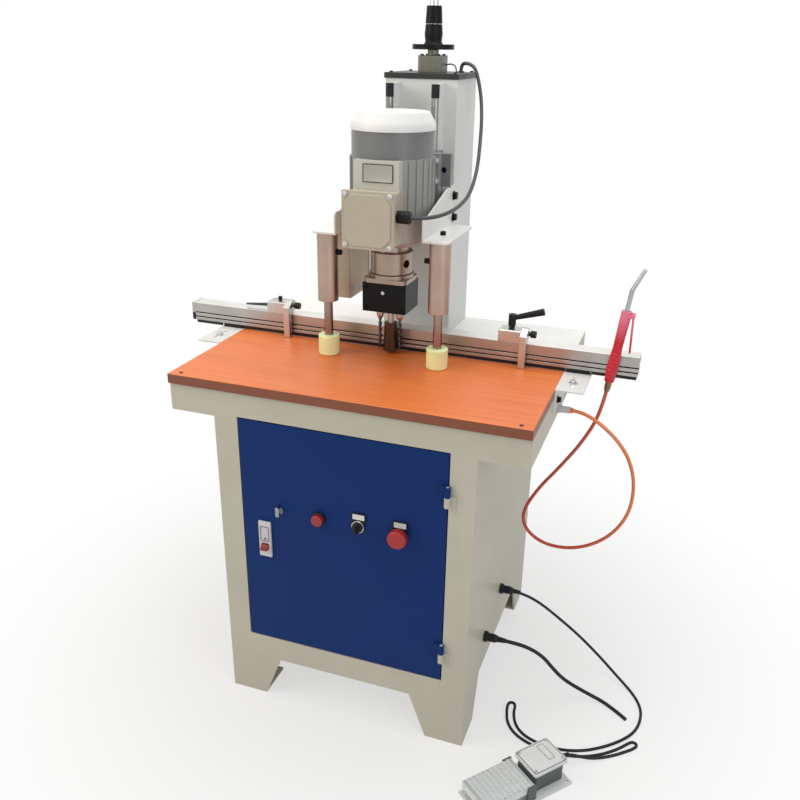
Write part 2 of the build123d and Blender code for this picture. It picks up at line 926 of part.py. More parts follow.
# Flip stops: a block on the fence, a swinging arm with its knob, and a clamping knob or lever
for stop_name, stop_x in (("left", left_stop_x), ("right", right_stop_x)):
    arm_low = stop_x + stop_block_length / 2 + slide_gap
    arm_high = arm_low + stop_arm_width
    bar_back = fence_front - stop_arm_gap
    bar_front = bar_back - stop_arm_depth
    with BuildPart() as stop_block:
        with BuildSketch(level(stop_bottom)):
            span(
                (stop_x - stop_block_length / 2, fence_front),
                (stop_x + stop_block_length / 2, fence_back),
            )
        extrude(amount=stop_block_height)
        chamfer(stop_block.faces().sort_by(Axis.Z)[-1].edges(), length=stop_block_edge)
        if stop_name == "left":
            grip_z = stop_bottom + stop_grip_rise
            with BuildSketch(side_plane(stop_x - stop_block_length / 2)):
                with Locations((fence_middle, grip_z)):
                    Circle(stop_grip_r)
            with BuildSketch(side_plane(stop_x - stop_block_length / 2 - stop_grip_length)):
                with Locations((fence_middle, grip_z - stop_grip_drop)):
                    Circle(stop_grip_tip_r)
            loft()
    save(stop_block, f"{stop_name}_stop_block")
    with BuildPart() as stop_arm:
        with BuildSketch(side_plane(arm_low)):
            with Locations((stop_pivot_y, stop_pivot_z)):
                Circle(stop_lug_r)
            Polygon(
                (bar_front, table_height + stop_foot_gap),
                (bar_back, table_height + stop_foot_gap),
                (bar_back, fence_top),
                (stop_pivot_y, stop_pivot_z - stop_lug_r),
                (stop_pivot_y, stop_pivot_z + stop_lug_r),
                (bar_front, stop_pivot_z),
                align=None,
            )
        extrude(amount=stop_arm_width)
        with BuildSketch(side_plane(arm_high)):
            with Locations((stop_pivot_y, stop_pivot_z)):
                Circle(knob_neck_r)
        extrude(amount=knob_neck)
        with BuildSketch(side_plane(arm_high + knob_neck)):
            with Locations((stop_pivot_y, stop_pivot_z)):
                Circle(knob_r)
        extrude(amount=knob_length)
    save(stop_arm, f"{stop_name}_stop_arm")

with BuildPart() as left_stop_knob:
    with BuildSketch(level(stop_top + slide_gap)):
        with Locations((left_stop_x, fence_middle)):
            Circle(top_knob_neck_r)
    extrude(amount=top_knob_neck)
    with BuildSketch(level(stop_top + slide_gap + top_knob_neck)):
        with Locations((left_stop_x, fence_middle)):
            RegularPolygon(top_knob_r, top_knob_sides)
    extrude(amount=top_knob_height, taper=top_knob_taper)
save(left_stop_knob, "left_stop_knob")

lever_run = Vector(lever_reach, 0, lever_rise)
lever_root = Vector(right_stop_x, fence_middle, stop_top + slide_gap + lever_hub_foot + lever_start)
with BuildPart() as right_stop_lever:
    with BuildSketch(level(stop_top + slide_gap)):
        with Locations((right_stop_x, fence_middle)):
            Circle(lever_hub_foot_r)
    extrude(amount=lever_hub_foot)
    with BuildSketch(level(stop_top + slide_gap + lever_hub_foot)):
        with Locations((right_stop_x, fence_middle)):
            Circle(lever_hub_r)
    extrude(amount=lever_hub_height)
    with BuildSketch(Plane(origin=lever_root, x_dir=(0, 1, 0), z_dir=lever_run)):
        Ellipse(lever_root_r, lever_root_r)
    with BuildSketch(Plane(origin=lever_root + lever_run, x_dir=(0, 1, 0), z_dir=lever_run)):
        Ellipse(lever_root_r, lever_tip_r)
    loft()
save(right_stop_lever, "right_stop_lever")

# Carriage: a block that runs on both posts, slit for their webs, with the wide motor plate in front
with BuildPart() as carriage:
    with BuildSketch(level(carriage_bottom)):
        span((-carriage_width / 2, carriage_front), (carriage_width / 2, carriage_back))
    extrude(amount=carriage_height)
    chamfer(carriage.faces().sort_by(Axis.Y)[-1].edges().filter_by(Axis.Z), length=carriage_edge)
    with BuildSketch(level(carriage_top - mount_height)):
        span((-mount_width / 2, carriage_front), (mount_width / 2, carriage_front + mount_plate))
    extrude(amount=mount_height)
    with BuildSketch(level(carriage_bottom)):
        for post_x in (-post_spacing / 2, post_spacing / 2):
            with Locations((post_x, post_y)):
                Circle(post_r + running_fit)
            span((post_x - web / 2 - web_gap, post_y), (post_x + web / 2 + web_gap, carriage_back))
    extrude(amount=carriage_height, mode=Mode.SUBTRACT)
    with BuildSketch(front_plane(carriage_front + mount_plate)):
        with Locations((0, carriage_top - carriage_port_drop)):
            with GridLocations(mount_width - 2 * carriage_port_inset, 0, 2, 1):
                Circle(carriage_port_r)
    extrude(amount=mount_plate, mode=Mode.SUBTRACT)
save(carriage, "carriage")

# Lift rod with piston and the arm that passes through the column slot to the carriage
with BuildPart() as lift_rod:
    with BuildSketch(level(arm_bottom)):
        with Locations((0, lift_y)):
            Circle(rod_r)
    extrude(amount=rod_top - arm_bottom)
    with BuildSketch(level(lift_tube_bottom + piston_rise)):
        with Locations((0, lift_y)):
            Circle(lift_bore_r - running_fit)
    extrude(amount=piston_height)
    with BuildSketch(level(arm_bottom)):
        span((-arm_width / 2, carriage_back), (arm_width / 2, lift_y + arm_tail))
    extrude(amount=arm_height)
save(lift_rod, "lift_rod")

# Depth stop: flanged nut and lock nut on the rod
with BuildPart() as stop_nuts:
    with BuildSketch(Plane(origin=(0, lift_y, flange_bottom), x_dir=(1, 0, 0), z_dir=(0, -1, 0))):
        with BuildLine():
            Polyline(
                (rod_r + running_fit, 0),
                (flange_r, 0),
                (flange_r, flange_height),
                (nut_foot_r, flange_height),
                (nut_waist_r, flange_height + nut_foot_height),
                (nut_r, flange_height + nut_height / 2),
                (nut_waist_r, flange_height + nut_height),
                (rod_r + running_fit, flange_height + nut_height),
                close=True,
            )
        make_face()
        with BuildLine():
            Polyline(
                (rod_r + running_fit, flange_height + nut_height + nut_seat),
                (lock_nut_r, flange_height + nut_height + nut_seat),
                (lock_nut_top_r, flange_height + nut_height + nut_seat + lock_nut_height),
                (rod_r + running_fit, flange_height + nut_height + nut_seat + lock_nut_height),
                close=True,
            )
        make_face()
    revolve(axis=Axis((0, lift_y, 0), (0, 0, 1)))
save(stop_nuts, "stop_nuts")

# Motor housing: finned stator with two feet on the carriage
with BuildPart() as motor_housing:
    with BuildSketch(level(stator_bottom)):
        with Locations((0, axis_y)):
            Circle(stator_r)
            with PolarLocations((stator_r + fin_tip_r) / 2 - fin_width / 2, fin_count):
                Rectangle(fin_tip_r - stator_r + fin_width, fin_width)
        span((-motor_foot_outer, carriage_front - motor_foot), (-motor_foot_inner, carriage_front))
        span((motor_foot_inner, carriage_front - motor_foot), (motor_foot_outer, carriage_front))
        span((-carriage_width, carriage_front), (carriage_width, carriage_back), mode=Mode.SUBTRACT)
    extrude(amount=stator_length)
    with BuildSketch(level(stator_bottom)):
        with Locations((0, axis_y)):
            Circle(stator_bore_r)
    extrude(amount=stator_length - stator_top_wall, mode=Mode.SUBTRACT)
    with BuildSketch(level(stator_bottom)):
        with Locations((0, axis_y)):
            Circle(motor_shaft_r + running_fit)
    extrude(amount=stator_length, mode=Mode.SUBTRACT)
save(motor_housing, "motor_housing")

# Lower end shield of the motor, a dished casting
with BuildPart() as end_shield:
    with BuildSketch(Plane(origin=(0, axis_y, shield_bottom), x_dir=(1, 0, 0), z_dir=(0, -1, 0))):
        with BuildLine():
            Polyline(
                (shield_hollow_r, shield_height),
                (shield_hollow_r, shield_wall),
                (motor_shaft_r + running_fit, shield_wall),
                (motor_shaft_r + running_fit, 0),
                (shield_bottom_r, 0),
            )
            TangentArc(
                (shield_bottom_r, 0),
                (stator_r, shield_round_rise),
                tangent=(1, 0),
            )
            Polyline(
                (stator_r, shield_round_rise),
                (stator_r, shield_height),
                (shield_hollow_r, shield_height),
            )
        make_face()
    revolve(axis=Axis((0, axis_y, 0), (0, 0, 1)))
save(end_shield, "end_shield")

# Fan cowl with its rain canopy
with BuildPart() as fan_cover:
    with BuildSketch(Plane(origin=(0, axis_y, stator_top), x_dir=(1, 0, 0), z_dir=(0, -1, 0))):
        with BuildLine():
            Polyline(
                (cowl_r - cowl_wall, 0),
                (cowl_r, 0),
                (cowl_r, cowl_height),
                (canopy_r, cowl_height),
                (canopy_r, cowl_height + canopy_lip),
                (canopy_top_r, cowl_height + canopy_lip + canopy_rise),
                (0, cowl_height + canopy_lip + canopy_rise),
                (0, cowl_height + canopy_lip),
                (cowl_r - cowl_wall, cowl_height + canopy_lip),
                close=True,
            )
        make_face()
    revolve(axis=Axis((0, axis_y, 0), (0, 0, 1)))
save(fan_cover, "fan_cover")

# Terminal box with its upper neck and cable gland, hollowed to sit on the fins
box_back = axis_y - fin_tip_r
box_front = box_back - box_depth
with BuildPart() as terminal_box:
    with BuildSketch(front_plane(axis_y - stator_bore_r)):
        span((-box_width / 2, box_bottom), (box_width / 2, box_bottom + box_height))
    extrude(amount=axis_y - stator_bore_r - box_front)
    fillet(terminal_box.edges().filter_by(Axis.Y), radius=box_edge)
    with BuildSketch(front_plane(axis_y - stator_bore_r)):
        span((-neck_box_width / 2, box_bottom + box_height / 2), (neck_box_width / 2, stator_top))
    extrude(amount=fin_tip_r - stator_bore_r + neck_box_depth)
    with BuildSketch(side_plane(0)):
        with Locations((box_back - gland_setback, box_bottom + box_height - gland_drop)):
            Circle(gland_r)
    extrude(amount=box_width / 2 + gland_length)
    with BuildSketch(level(shield_bottom)):
        with Locations((0, axis_y)):
            Circle(fin_tip_r + fin_clearance)
    extrude(amount=stator_top - shield_bottom, mode=Mode.SUBTRACT)
save(terminal_box, "terminal_box")

# Lid of the terminal box with a raised panel
lid_half = box_width / 2 + lid_margin
lid_low = box_bottom - lid_margin
lid_high = box_bottom + box_height + lid_margin
with BuildPart() as terminal_lid:
    with BuildSketch(front_plane(box_front)):
        span((-lid_half, lid_low), (lid_half, lid_high))
    extrude(amount=lid_thickness)
    fillet(terminal_lid.edges().filter_by(Axis.Y), radius=box_edge)
    with BuildSketch(front_plane(box_front - lid_thickness)) as lid_face:
        span(
            (lid_panel_inset - lid_half, lid_low + lid_panel_inset),
            (lid_half - lid_panel_inset, lid_high - lid_panel_inset),
        )
        chamfer(lid_face.vertices(), length=lid_panel_corner)
    extrude(amount=lid_panel)
save(terminal_lid, "terminal_lid")

# Collar between motor and gearbox
with BuildPart() as motor_collar:
    with BuildSketch(level(collar_bottom)):
        with Locations((0, axis_y)):
            Circle(collar_r)
    extrude(amount=collar_height)
    chamfer(motor_collar.edges().filter_by(GeomType.CIRCLE), length=collar_edge)
    with BuildSketch(level(cover_top)):
        with Locations((0, axis_y)):
            Circle(collar_foot_r)
    extrude(amount=collar_foot)
    with BuildSketch(level(collar_top)):
        with Locations((0, axis_y)):
            Circle(collar_spigot_r)
    extrude(amount=collar_spigot)
    with BuildSketch(level(cover_top)):
        with Locations((0, axis_y)):
            Circle(collar_bore_r)
    extrude(amount=shield_bottom - cover_top, mode=Mode.SUBTRACT)
    port_way = Vector(1, 0, 0).rotate(Axis.Z, collar_port_angle)
    with BuildSketch(Plane(origin=(0, axis_y, coupling_split), z_dir=port_way)):
        Circle(collar_port_r)
    extrude(amount=collar_r + collar_port_r, mode=Mode.SUBTRACT)
save(motor_collar, "motor_collar")

# Gearbox cover plate with rounded corners
with BuildPart() as gearbox_cover:
    with BuildSketch(level(gearbox_top)):
        with Locations((0, (gearbox_front + gearbox_back) / 2)):
            RectangleRounded(gearbox_width, gearbox_depth, gearbox_corner)
        with Locations((0, axis_y)):
            Circle(spindle_r + running_fit, mode=Mode.SUBTRACT)
    extrude(amount=cover_plate)
save(gearbox_cover, "gearbox_cover")

# Gearbox case, open above and bored below for the three spindles
with BuildPart() as gearbox_case:
    with BuildSketch(level(gearbox_bottom)):
        span((-gearbox_width / 2, gearbox_front), (gearbox_width / 2, gearbox_back))
    extrude(amount=gearbox_height)
    chamfer(gearbox_case.edges().filter_by(Axis.Z), length=gearbox_edge)
    with BuildSketch(level(gearbox_bottom + gearbox_wall)):
        span(
            (gearbox_wall - gearbox_width / 2, gearbox_front + gearbox_wall),
            (gearbox_width / 2 - gearbox_wall, gearbox_back - gearbox_wall),
        )
    extrude(amount=gearbox_height - gearbox_wall, mode=Mode.SUBTRACT)
    with BuildSketch(level(gearbox_bottom)):
        with Locations((0, axis_y), (-screw_pitch / 2, side_y), (screw_pitch / 2, side_y)):
            Circle(spindle_r + running_fit)
    extrude(amount=gearbox_wall, mode=Mode.SUBTRACT)
save(gearbox_case, "gearbox_case")


# Spur gear outline, with one tooth at the start angle
def gear_outline(start):
    root_r = gear_distance / 2 - tooth_in
    tip_r = gear_distance / 2 + tooth_out
    Circle(root_r)
    with PolarLocations(0, gear_teeth_count, start_angle=start):
        Polygon(
            (root_r - tooth_tip_width / 2, -tooth_root_width / 2),
            (tip_r, -tooth_tip_width / 2),
            (tip_r, tooth_tip_width / 2),
            (root_r - tooth_tip_width / 2, tooth_root_width / 2),
            align=None,
        )


# Rotor: motor shaft with its core, fan and the upper coupling half
with BuildPart() as rotor_shaft:
    with BuildSketch(level(coupling_split)):
        with Locations((0, axis_y)):
            Circle(motor_shaft_r)
    extrude(amount=stator_top + shaft_tail - coupling_split)
    with BuildSketch(level(stator_bottom + rotor_end_gap)):
        with Locations((0, axis_y)):
            Circle(stator_bore_r - rotor_gap)
    extrude(amount=stator_length - stator_top_wall - 2 * rotor_end_gap)
    with BuildSketch(level(stator_top + fan_lift)):
        with Locations((0, axis_y)):
            Circle(fan_r)
    extrude(amount=fan_height)
    with BuildSketch(level(coupling_split)):
        with Locations((0, axis_y)):
            Circle(coupling_r)
    extrude(amount=collar_height / 2)
save(rotor_shaft, "rotor_shaft")

# Centre spindle: lower coupling half, drive gear and nose
with BuildPart() as centre_spindle:
    with BuildSketch(level(spindle_end)):
        with Locations((0, axis_y)):
            Circle(spindle_r)
    extrude(amount=coupling_split - spindle_end)
    with BuildSketch(level(cover_top + coupling_stub)):
        with Locations((0, axis_y)):
            Circle(coupling_r)
    extrude(amount=coupling_split - cover_top - coupling_stub)
    with BuildSketch(level(gear_bottom)):
        with Locations((0, axis_y)):
            gear_outline(gear_angle)
    extrude(amount=gear_width)
save(centre_spindle, "centre_spindle")

# Cup bit: holder, cutter head with two gullets, rim lip and centre spur
with BuildPart() as cup_bit:
    with BuildSketch(level(bit_bottom + bit_lip)):
        with Locations((0, axis_y)):
            Circle(bit_r)
    extrude(amount=bit_head)
    with BuildSketch(level(bit_bottom + bit_lip + bit_head)):
        with Locations((0, axis_y)):
            Circle(bit_holder_r)
    extrude(amount=bit_length - bit_lip - bit_head)
    with BuildSketch(level(bit_bottom)):
        with Locations((0, axis_y)):
            Circle(bit_r)
            Circle(bit_lip_r, mode=Mode.SUBTRACT)
    extrude(amount=bit_lip)
    with BuildSketch(level(bit_bottom)):
        with Locations((0, axis_y)):
            with PolarLocations(bit_r - bit_gullet / 2, 2):
                Rectangle(bit_gullet, bit_gullet)
    extrude(amount=bit_head, mode=Mode.SUBTRACT)
    with BuildSketch(level(bit_bottom + bit_lip - bit_spur)):
        with Locations((0, axis_y)):
            Circle(bit_spur_r)
    extrude(amount=bit_spur)
save(cup_bit, "cup_bit")

# Side spindles, each with its gear and chuck, and the drill it holds
gear_phase = 180 / gear_teeth_count
left_slip = (180 - 2 * gear_angle) % tooth_angle
for spindle_name, spindle_side in (("left", -1), ("right", 1)):
    spindle_x = spindle_side * screw_pitch / 2
    mesh_angle = 180 + gear_angle if spindle_side > 0 else left_slip - gear_angle
    with BuildPart() as side_spindle:
        with BuildSketch(level(chuck_top)):
            with Locations((spindle_x, side_y)):
                Circle(spindle_r)
        extrude(amount=gear_bottom + gear_width - chuck_top)
        with BuildSketch(level(gear_bottom)):
            with Locations((spindle_x, side_y)):
                gear_outline(mesh_angle + gear_phase)
        extrude(amount=gear_width)
        with BuildSketch(level(chuck_bottom + chuck_cone)):
            with Locations((spindle_x, side_y)):
                Circle(chuck_r)
        extrude(amount=chuck_length - chuck_cone)
        with BuildSketch(level(chuck_bottom)):
            with Locations((spindle_x, side_y)):
                Circle(chuck_cone_r)
        with BuildSketch(level(chuck_bottom + chuck_cone)):
            with Locations((spindle_x, side_y)):
                Circle(chuck_r)
        loft()
    with BuildPart() as drill:
        with BuildSketch(Plane(origin=(spindle_x, side_y, chuck_bottom), x_dir=(1, 0, 0), z_dir=(0, -1, 0))):
            Polygon(
                (0, 0),
                (0, -drill_length),
                (drill_r, drill_point - drill_length),
                (drill_r, 0),
                align=None,
            )
        revolve(axis=Axis((spindle_x, side_y, 0), (0, 0, 1)))
    spindle_group = Compound(children=[side_spindle.part.solid(), drill.part.solid()])
    spindle_group.label = f"{spindle_name}_spindle"
    export_step(spindle_group, f"parts/{spindle_name}_spindle.step")

# Door: a folded pan with cut-outs for its controls and the upper hinge halves
with BuildPart() as door_panel:
    with BuildSketch(front_plane(door_back)):
        with Locations((0, door_mid)):
            Rectangle(door_width, door_height)
    extrude(amount=door_depth)
    with BuildSketch(front_plane(door_back)):
        with Locations((0, door_mid)):
            Rectangle(door_width - 2 * door_sheet, door_height - 2 * door_sheet)
    extrude(amount=door_depth - door_sheet, mode=Mode.SUBTRACT)
    with BuildSketch(front_plane(door_back)):
        for control_x in (lamp_x, selector_x, stop_button_x):
            with Locations((control_x, control_height)):
                Circle(panel_hole_d / 2)
        with Locations((lock_x, control_height)):
            Circle(lock_shaft_r + running_fit)
        with Locations((breaker_x, breaker_height)):
            Rectangle(breaker_window_width, breaker_window_length)
    extrude(amount=door_depth, mode=Mode.SUBTRACT)
    for hinge_z in (hinge_low, hinge_high):
        with BuildSketch(level(hinge_z + knuckle_length + slide_gap)):
            with Locations((hinge_x, hinge_y)):
                Circle(knuckle_r)
            span((hinge_x - hinge_leaf_width, hinge_y), (hinge_x, body_front))
            with Locations((hinge_x, hinge_y)):
                Circle(hinge_pin_r + running_fit, mode=Mode.SUBTRACT)
        extrude(amount=knuckle_length)
save(door_panel, "door_panel")

# Fixed bodies of the lamp, the selector and the stop button
with BuildPart() as control_bezels:
    for control_x in (lamp_x, selector_x, stop_button_x):
        with BuildSketch(front_plane(body_front)):
            with Locations((control_x, control_height)):
                Circle(bezel_d / 2)
        extrude(amount=bezel)
        with BuildSketch(front_plane(body_front + door_sheet)):
            with Locations((control_x, control_height)):
                Circle(panel_hole_d / 2 - running_fit)
        extrude(amount=door_sheet)
        with BuildSketch(front_plane(body_front + door_sheet + control_body_depth)):
            with Locations((control_x, control_height)):
                Rectangle(control_body_width, control_body_width)
        extrude(amount=control_body_depth)
    with BuildSketch(front_plane(body_front + mushroom_lift)):
        with Locations((stop_button_x, control_height)):
            Circle(mushroom_stem_r + running_fit)
    extrude(amount=mushroom_lift + bezel, mode=Mode.SUBTRACT)
save(control_bezels, "control_bezels")

# Lamp lens
with BuildPart() as pilot_lamp:
    with BuildSketch(front_plane(body_front - bezel)):
        with Locations((lamp_x, control_height)):
            Circle(lens_d / 2)
    extrude(amount=lens_height)
    fillet(pilot_lamp.faces().sort_by(Axis.Y)[0].edges(), radius=mushroom_round)
save(pilot_lamp, "pilot_lamp")

# Selector knob with its grip bar
with BuildPart() as selector_knob:
    with BuildSketch(front_plane(body_front - bezel - slide_gap)):
        with Locations((selector_x, control_height)):
            Circle(selector_d / 2)
    extrude(amount=selector_height)
    with BuildSketch(front_plane(body_front - bezel - slide_gap - selector_height)):
        with Locations((selector_x, control_height)):
            SlotOverall(grip_length, grip_width, rotation=90)
    extrude(amount=grip_height)
save(selector_knob, "selector_knob")

# Stop button: mushroom head on a stem
mushroom_back = body_front - mushroom_lift
with BuildPart() as stop_button:
    with BuildSketch(front_plane(mushroom_back)):
        with Locations((stop_button_x, control_height)):
            Circle(mushroom_d / 2)
    extrude(amount=mushroom_height)
    fillet(stop_button.faces().sort_by(Axis.Y)[0].edges(), radius=mushroom_round)
    with BuildSketch(front_plane(body_front + mushroom_lift - button_travel - slide_gap)):
        with Locations((stop_button_x, control_height)):
            Circle(mushroom_stem_r)
    extrude(amount=body_front + mushroom_lift - button_travel - slide_gap - mushroom_back)
save(stop_button, "stop_button")

# Breaker body with its cover plate
rocker_y = body_front - breaker_plate
toggle_z = breaker_height - toggle_drop
with BuildPart() as breaker:
    with BuildSketch(front_plane(body_front)):
        with Locations((breaker_x, breaker_height)):
            Rectangle(breaker_width, breaker_length)
    extrude(amount=breaker_plate)
    with BuildSketch(front_plane(body_front + breaker_body_depth)):
        with Locations((breaker_x, breaker_height)):
            Rectangle(breaker_window_width - 2 * running_fit, breaker_window_length - 2 * running_fit)
    extrude(amount=breaker_body_depth)
    with BuildSketch(front_plane(rocker_y + toggle_pocket)):
        with Locations((breaker_x, toggle_z)):
            Rectangle(toggle_width + 2 * slide_gap, 2 * (toggle_r + slide_gap))
    extrude(amount=toggle_pocket, mode=Mode.SUBTRACT)
save(breaker, "breaker")

# Breaker rocker on its pivot, tilted down to off
toggle_fall = toggle_stand * math.tan(math.radians(toggle_tilt))
with BuildPart() as breaker_toggle:
    with BuildSketch(side_plane(breaker_x - toggle_width / 2)):
        with Locations((rocker_y, toggle_z)):
            Circle(toggle_r)
        Polygon(
            (rocker_y, toggle_z - toggle_root),
            (rocker_y, toggle_z + toggle_root),
            (rocker_y - toggle_stand, toggle_z - toggle_fall + toggle_tip),
            (rocker_y - toggle_stand, toggle_z - toggle_fall - toggle_tip),
            align=None,
        )
    extrude(amount=toggle_width)
save(breaker_toggle, "breaker_toggle")

# Wing lock: rose, wing, shaft and the long tongue behind the door
tongue_front = door_back + tongue_setback
with BuildPart() as lock_wing:
    with BuildSketch(front_plane(tongue_front + tongue)):
        with Locations((lock_x, control_height)):
            Circle(lock_shaft_r)
    extrude(amount=tongue_front + tongue - body_front + lock_rose + slide_gap)
    with BuildSketch(front_plane(body_front - slide_gap)):
        with Locations((lock_x, control_height)):
            Circle(lock_rose_r)
    extrude(amount=lock_rose)
    with BuildSketch(front_plane(body_front - slide_gap - lock_rose)):
        with Locations((lock_x, control_height)):
            SlotOverall(wing_length, wing_width, rotation=90)
    extrude(amount=wing_height)
    with BuildSketch(front_plane(tongue_front + tongue)):
        span(
            (lock_x - tongue_width / 2, control_height - tongue_width / 2),
            (lock_x + tongue_width / 2, control_height + lock_inset + tongue_overlap),
        )
    extrude(amount=tongue)
save(lock_wing, "lock_wing")

# Control gear on its plate at the back of the cabinet
gear_face = body_back - sheet - gear_plate
gear_plate_bottom = foot_height + gear_plate_rise
with BuildPart() as contactor:
    with BuildSketch(front_plane(body_back - sheet)):
        with Locations((0, gear_plate_bottom + gear_plate_height / 2)):
            Rectangle(gear_plate_width, gear_plate_height)
    extrude(amount=gear_plate)
    with BuildSketch(front_plane(gear_face)):
        with Locations((-gear_plate_width / 4, gear_plate_bottom + gear_plate_height / 2)):
            Rectangle(contactor_width, contactor_height)
    extrude(amount=contactor_depth)
    with BuildSketch(front_plane(gear_face)):
        with Locations((gear_plate_width / 4, gear_plate_bottom + gear_plate_height / 2)):
            Rectangle(relay_width, relay_height)
    extrude(amount=relay_depth)
save(contactor, "contactor")

# Two cable glands in the side panel and the hose fitting in the apron
with BuildPart() as cable_glands:
    for gland_y, gland_z in ((upper_gland_y, upper_gland_z), (lower_gland_y, lower_gland_z)):
        with BuildSketch(side_plane(body_width / 2 - sheet - gland_nut)):
            with Locations((gland_y, gland_z)):
                RegularPolygon(gland_hex_r, hex_sides)
        extrude(amount=gland_nut)
        with BuildSketch(side_plane(body_width / 2 - sheet)):
            with Locations((gland_y, gland_z)):
                Circle(gland_shank_r)
        extrude(amount=sheet)
        with BuildSketch(side_plane(body_width / 2)):
            with Locations((gland_y, gland_z)):
                RegularPolygon(gland_hex_r, hex_sides)
        extrude(amount=gland_hex)
        with BuildSketch(side_plane(body_width / 2 + gland_hex)):
            with Locations((gland_y, gland_z)):
                Circle(gland_nose_r)
        extrude(amount=gland_nose)
    with BuildSketch(side_plane(apron_width / 2 - sheet)):
        with Locations((fitting_y, fitting_z)):
            Circle(fitting_shank_r)
    extrude(amount=sheet)
    with BuildSketch(side_plane(apron_width / 2)):
        with Locations((fitting_y, fitting_z)):
            RegularPolygon(fitting_hex_r, hex_sides)
    extrude(amount=fitting_hex)
    with BuildSketch(side_plane(apron_width / 2 + fitting_hex)):
        with Locations((fitting_y, fitting_z)):
            Circle(fitting_nose_r)
    extrude(amount=fitting_nose)
save(cable_glands, "cable_glands")

# Foot pedal: base, cast box with its lid, and the ears with the treadle pin
pedal_frame = Plane(
    origin=(pedal_x, pedal_y, 0),
    x_dir=(math.cos(math.radians(pedal_turn)), math.sin(math.radians(pedal_turn)), 0),
    z_dir=(0, 0, 1),
)
ear_inner = treadle_width / 2 + slide_gap
pedal_side = Plane(origin=pedal_frame.origin, x_dir=pedal_frame.x_dir, z_dir=-pedal_frame.y_dir)
with BuildPart() as pedal_housing:
    with BuildSketch(pedal_frame):
        span((-pedal_base_front, -pedal_base_width / 2), (pedal_base_back, pedal_base_width / 2))
        for hole_x in (-pedal_base_front + pedal_hole_inset, pedal_base_back - pedal_hole_inset):
            for hole_y in (pedal_hole_inset - pedal_base_width / 2, pedal_base_width / 2 - pedal_hole_inset):
                with Locations((hole_x, hole_y)):
                    Circle(pedal_hole_r, mode=Mode.SUBTRACT)
    extrude(amount=pedal_base)
    with BuildSketch(pedal_frame.offset(pedal_base)):
        RectangleRounded(pedal_box_length, pedal_box_width, pedal_box_edge)
    extrude(amount=pedal_box_height)
    with BuildSketch(pedal_frame.offset(pedal_base + pedal_box_height)):
        RectangleRounded(pedal_lid_length, pedal_lid_width, pedal_box_edge)
    extrude(amount=pedal_lid)
    with BuildSketch(pedal_frame):
        for ear_side in (-1, 1):
            with Locations((pedal_ear_x, ear_side * (ear_inner + pedal_ear / 2))):
                Rectangle(pedal_ear_length, pedal_ear)
    extrude(amount=pedal_ear_height)
    with BuildSketch(pedal_side.offset(-ear_inner - pedal_ear - pedal_pin_end)):
        with Locations((pedal_ear_x, pedal_pivot_z)):
            Circle(pedal_pin_r)
    extrude(amount=2 * (ear_inner + pedal_ear + pedal_pin_end))
    gland_root = pedal_frame.from_local_coords((0, 0, pedal_gland_z))
    with BuildSketch(Plane(origin=gland_root, z_dir=pedal_frame.x_dir)):
        Circle(pedal_gland_r)
    extrude(amount=pedal_box_length / 2 + pedal_gland)
save(pedal_housing, "pedal_housing")

# Treadle: ribbed plate with two skirts on the pin
treadle_back = pedal_ear_x + treadle_tail
treadle_front = pedal_ear_x - treadle_length
with BuildPart() as pedal_treadle:
    with BuildSketch(pedal_frame.offset(treadle_top - treadle_skirt)):
        span((treadle_front, -treadle_width / 2), (treadle_back, treadle_width / 2))
        span(
            (treadle_front + treadle_wall, treadle_wall - treadle_width / 2),
            (treadle_back, treadle_width / 2 - treadle_wall),
            mode=Mode.SUBTRACT,
        )
    extrude(amount=treadle_skirt - treadle_plate)
    with BuildSketch(pedal_frame.offset(treadle_top - treadle_plate)):
        span((treadle_front, -treadle_width / 2), (treadle_back, treadle_width / 2))
    extrude(amount=treadle_plate)
    with BuildSketch(pedal_frame.offset(treadle_top)):
        with Locations(((treadle_front + treadle_back) / 2, 0)):
            with GridLocations(treadle_length / treadle_ribs, treadle_width, treadle_ribs, 1):
                Rectangle(treadle_rib, treadle_width)
    extrude(amount=treadle_rib_height)
    with BuildSketch(pedal_side.offset(-treadle_width)):
        with Locations((pedal_ear_x, pedal_pivot_z)):
            Circle(pedal_pin_r + running_fit)
    extrude(amount=2 * treadle_width, mode=Mode.SUBTRACT)
save(pedal_treadle, "pedal_treadle")

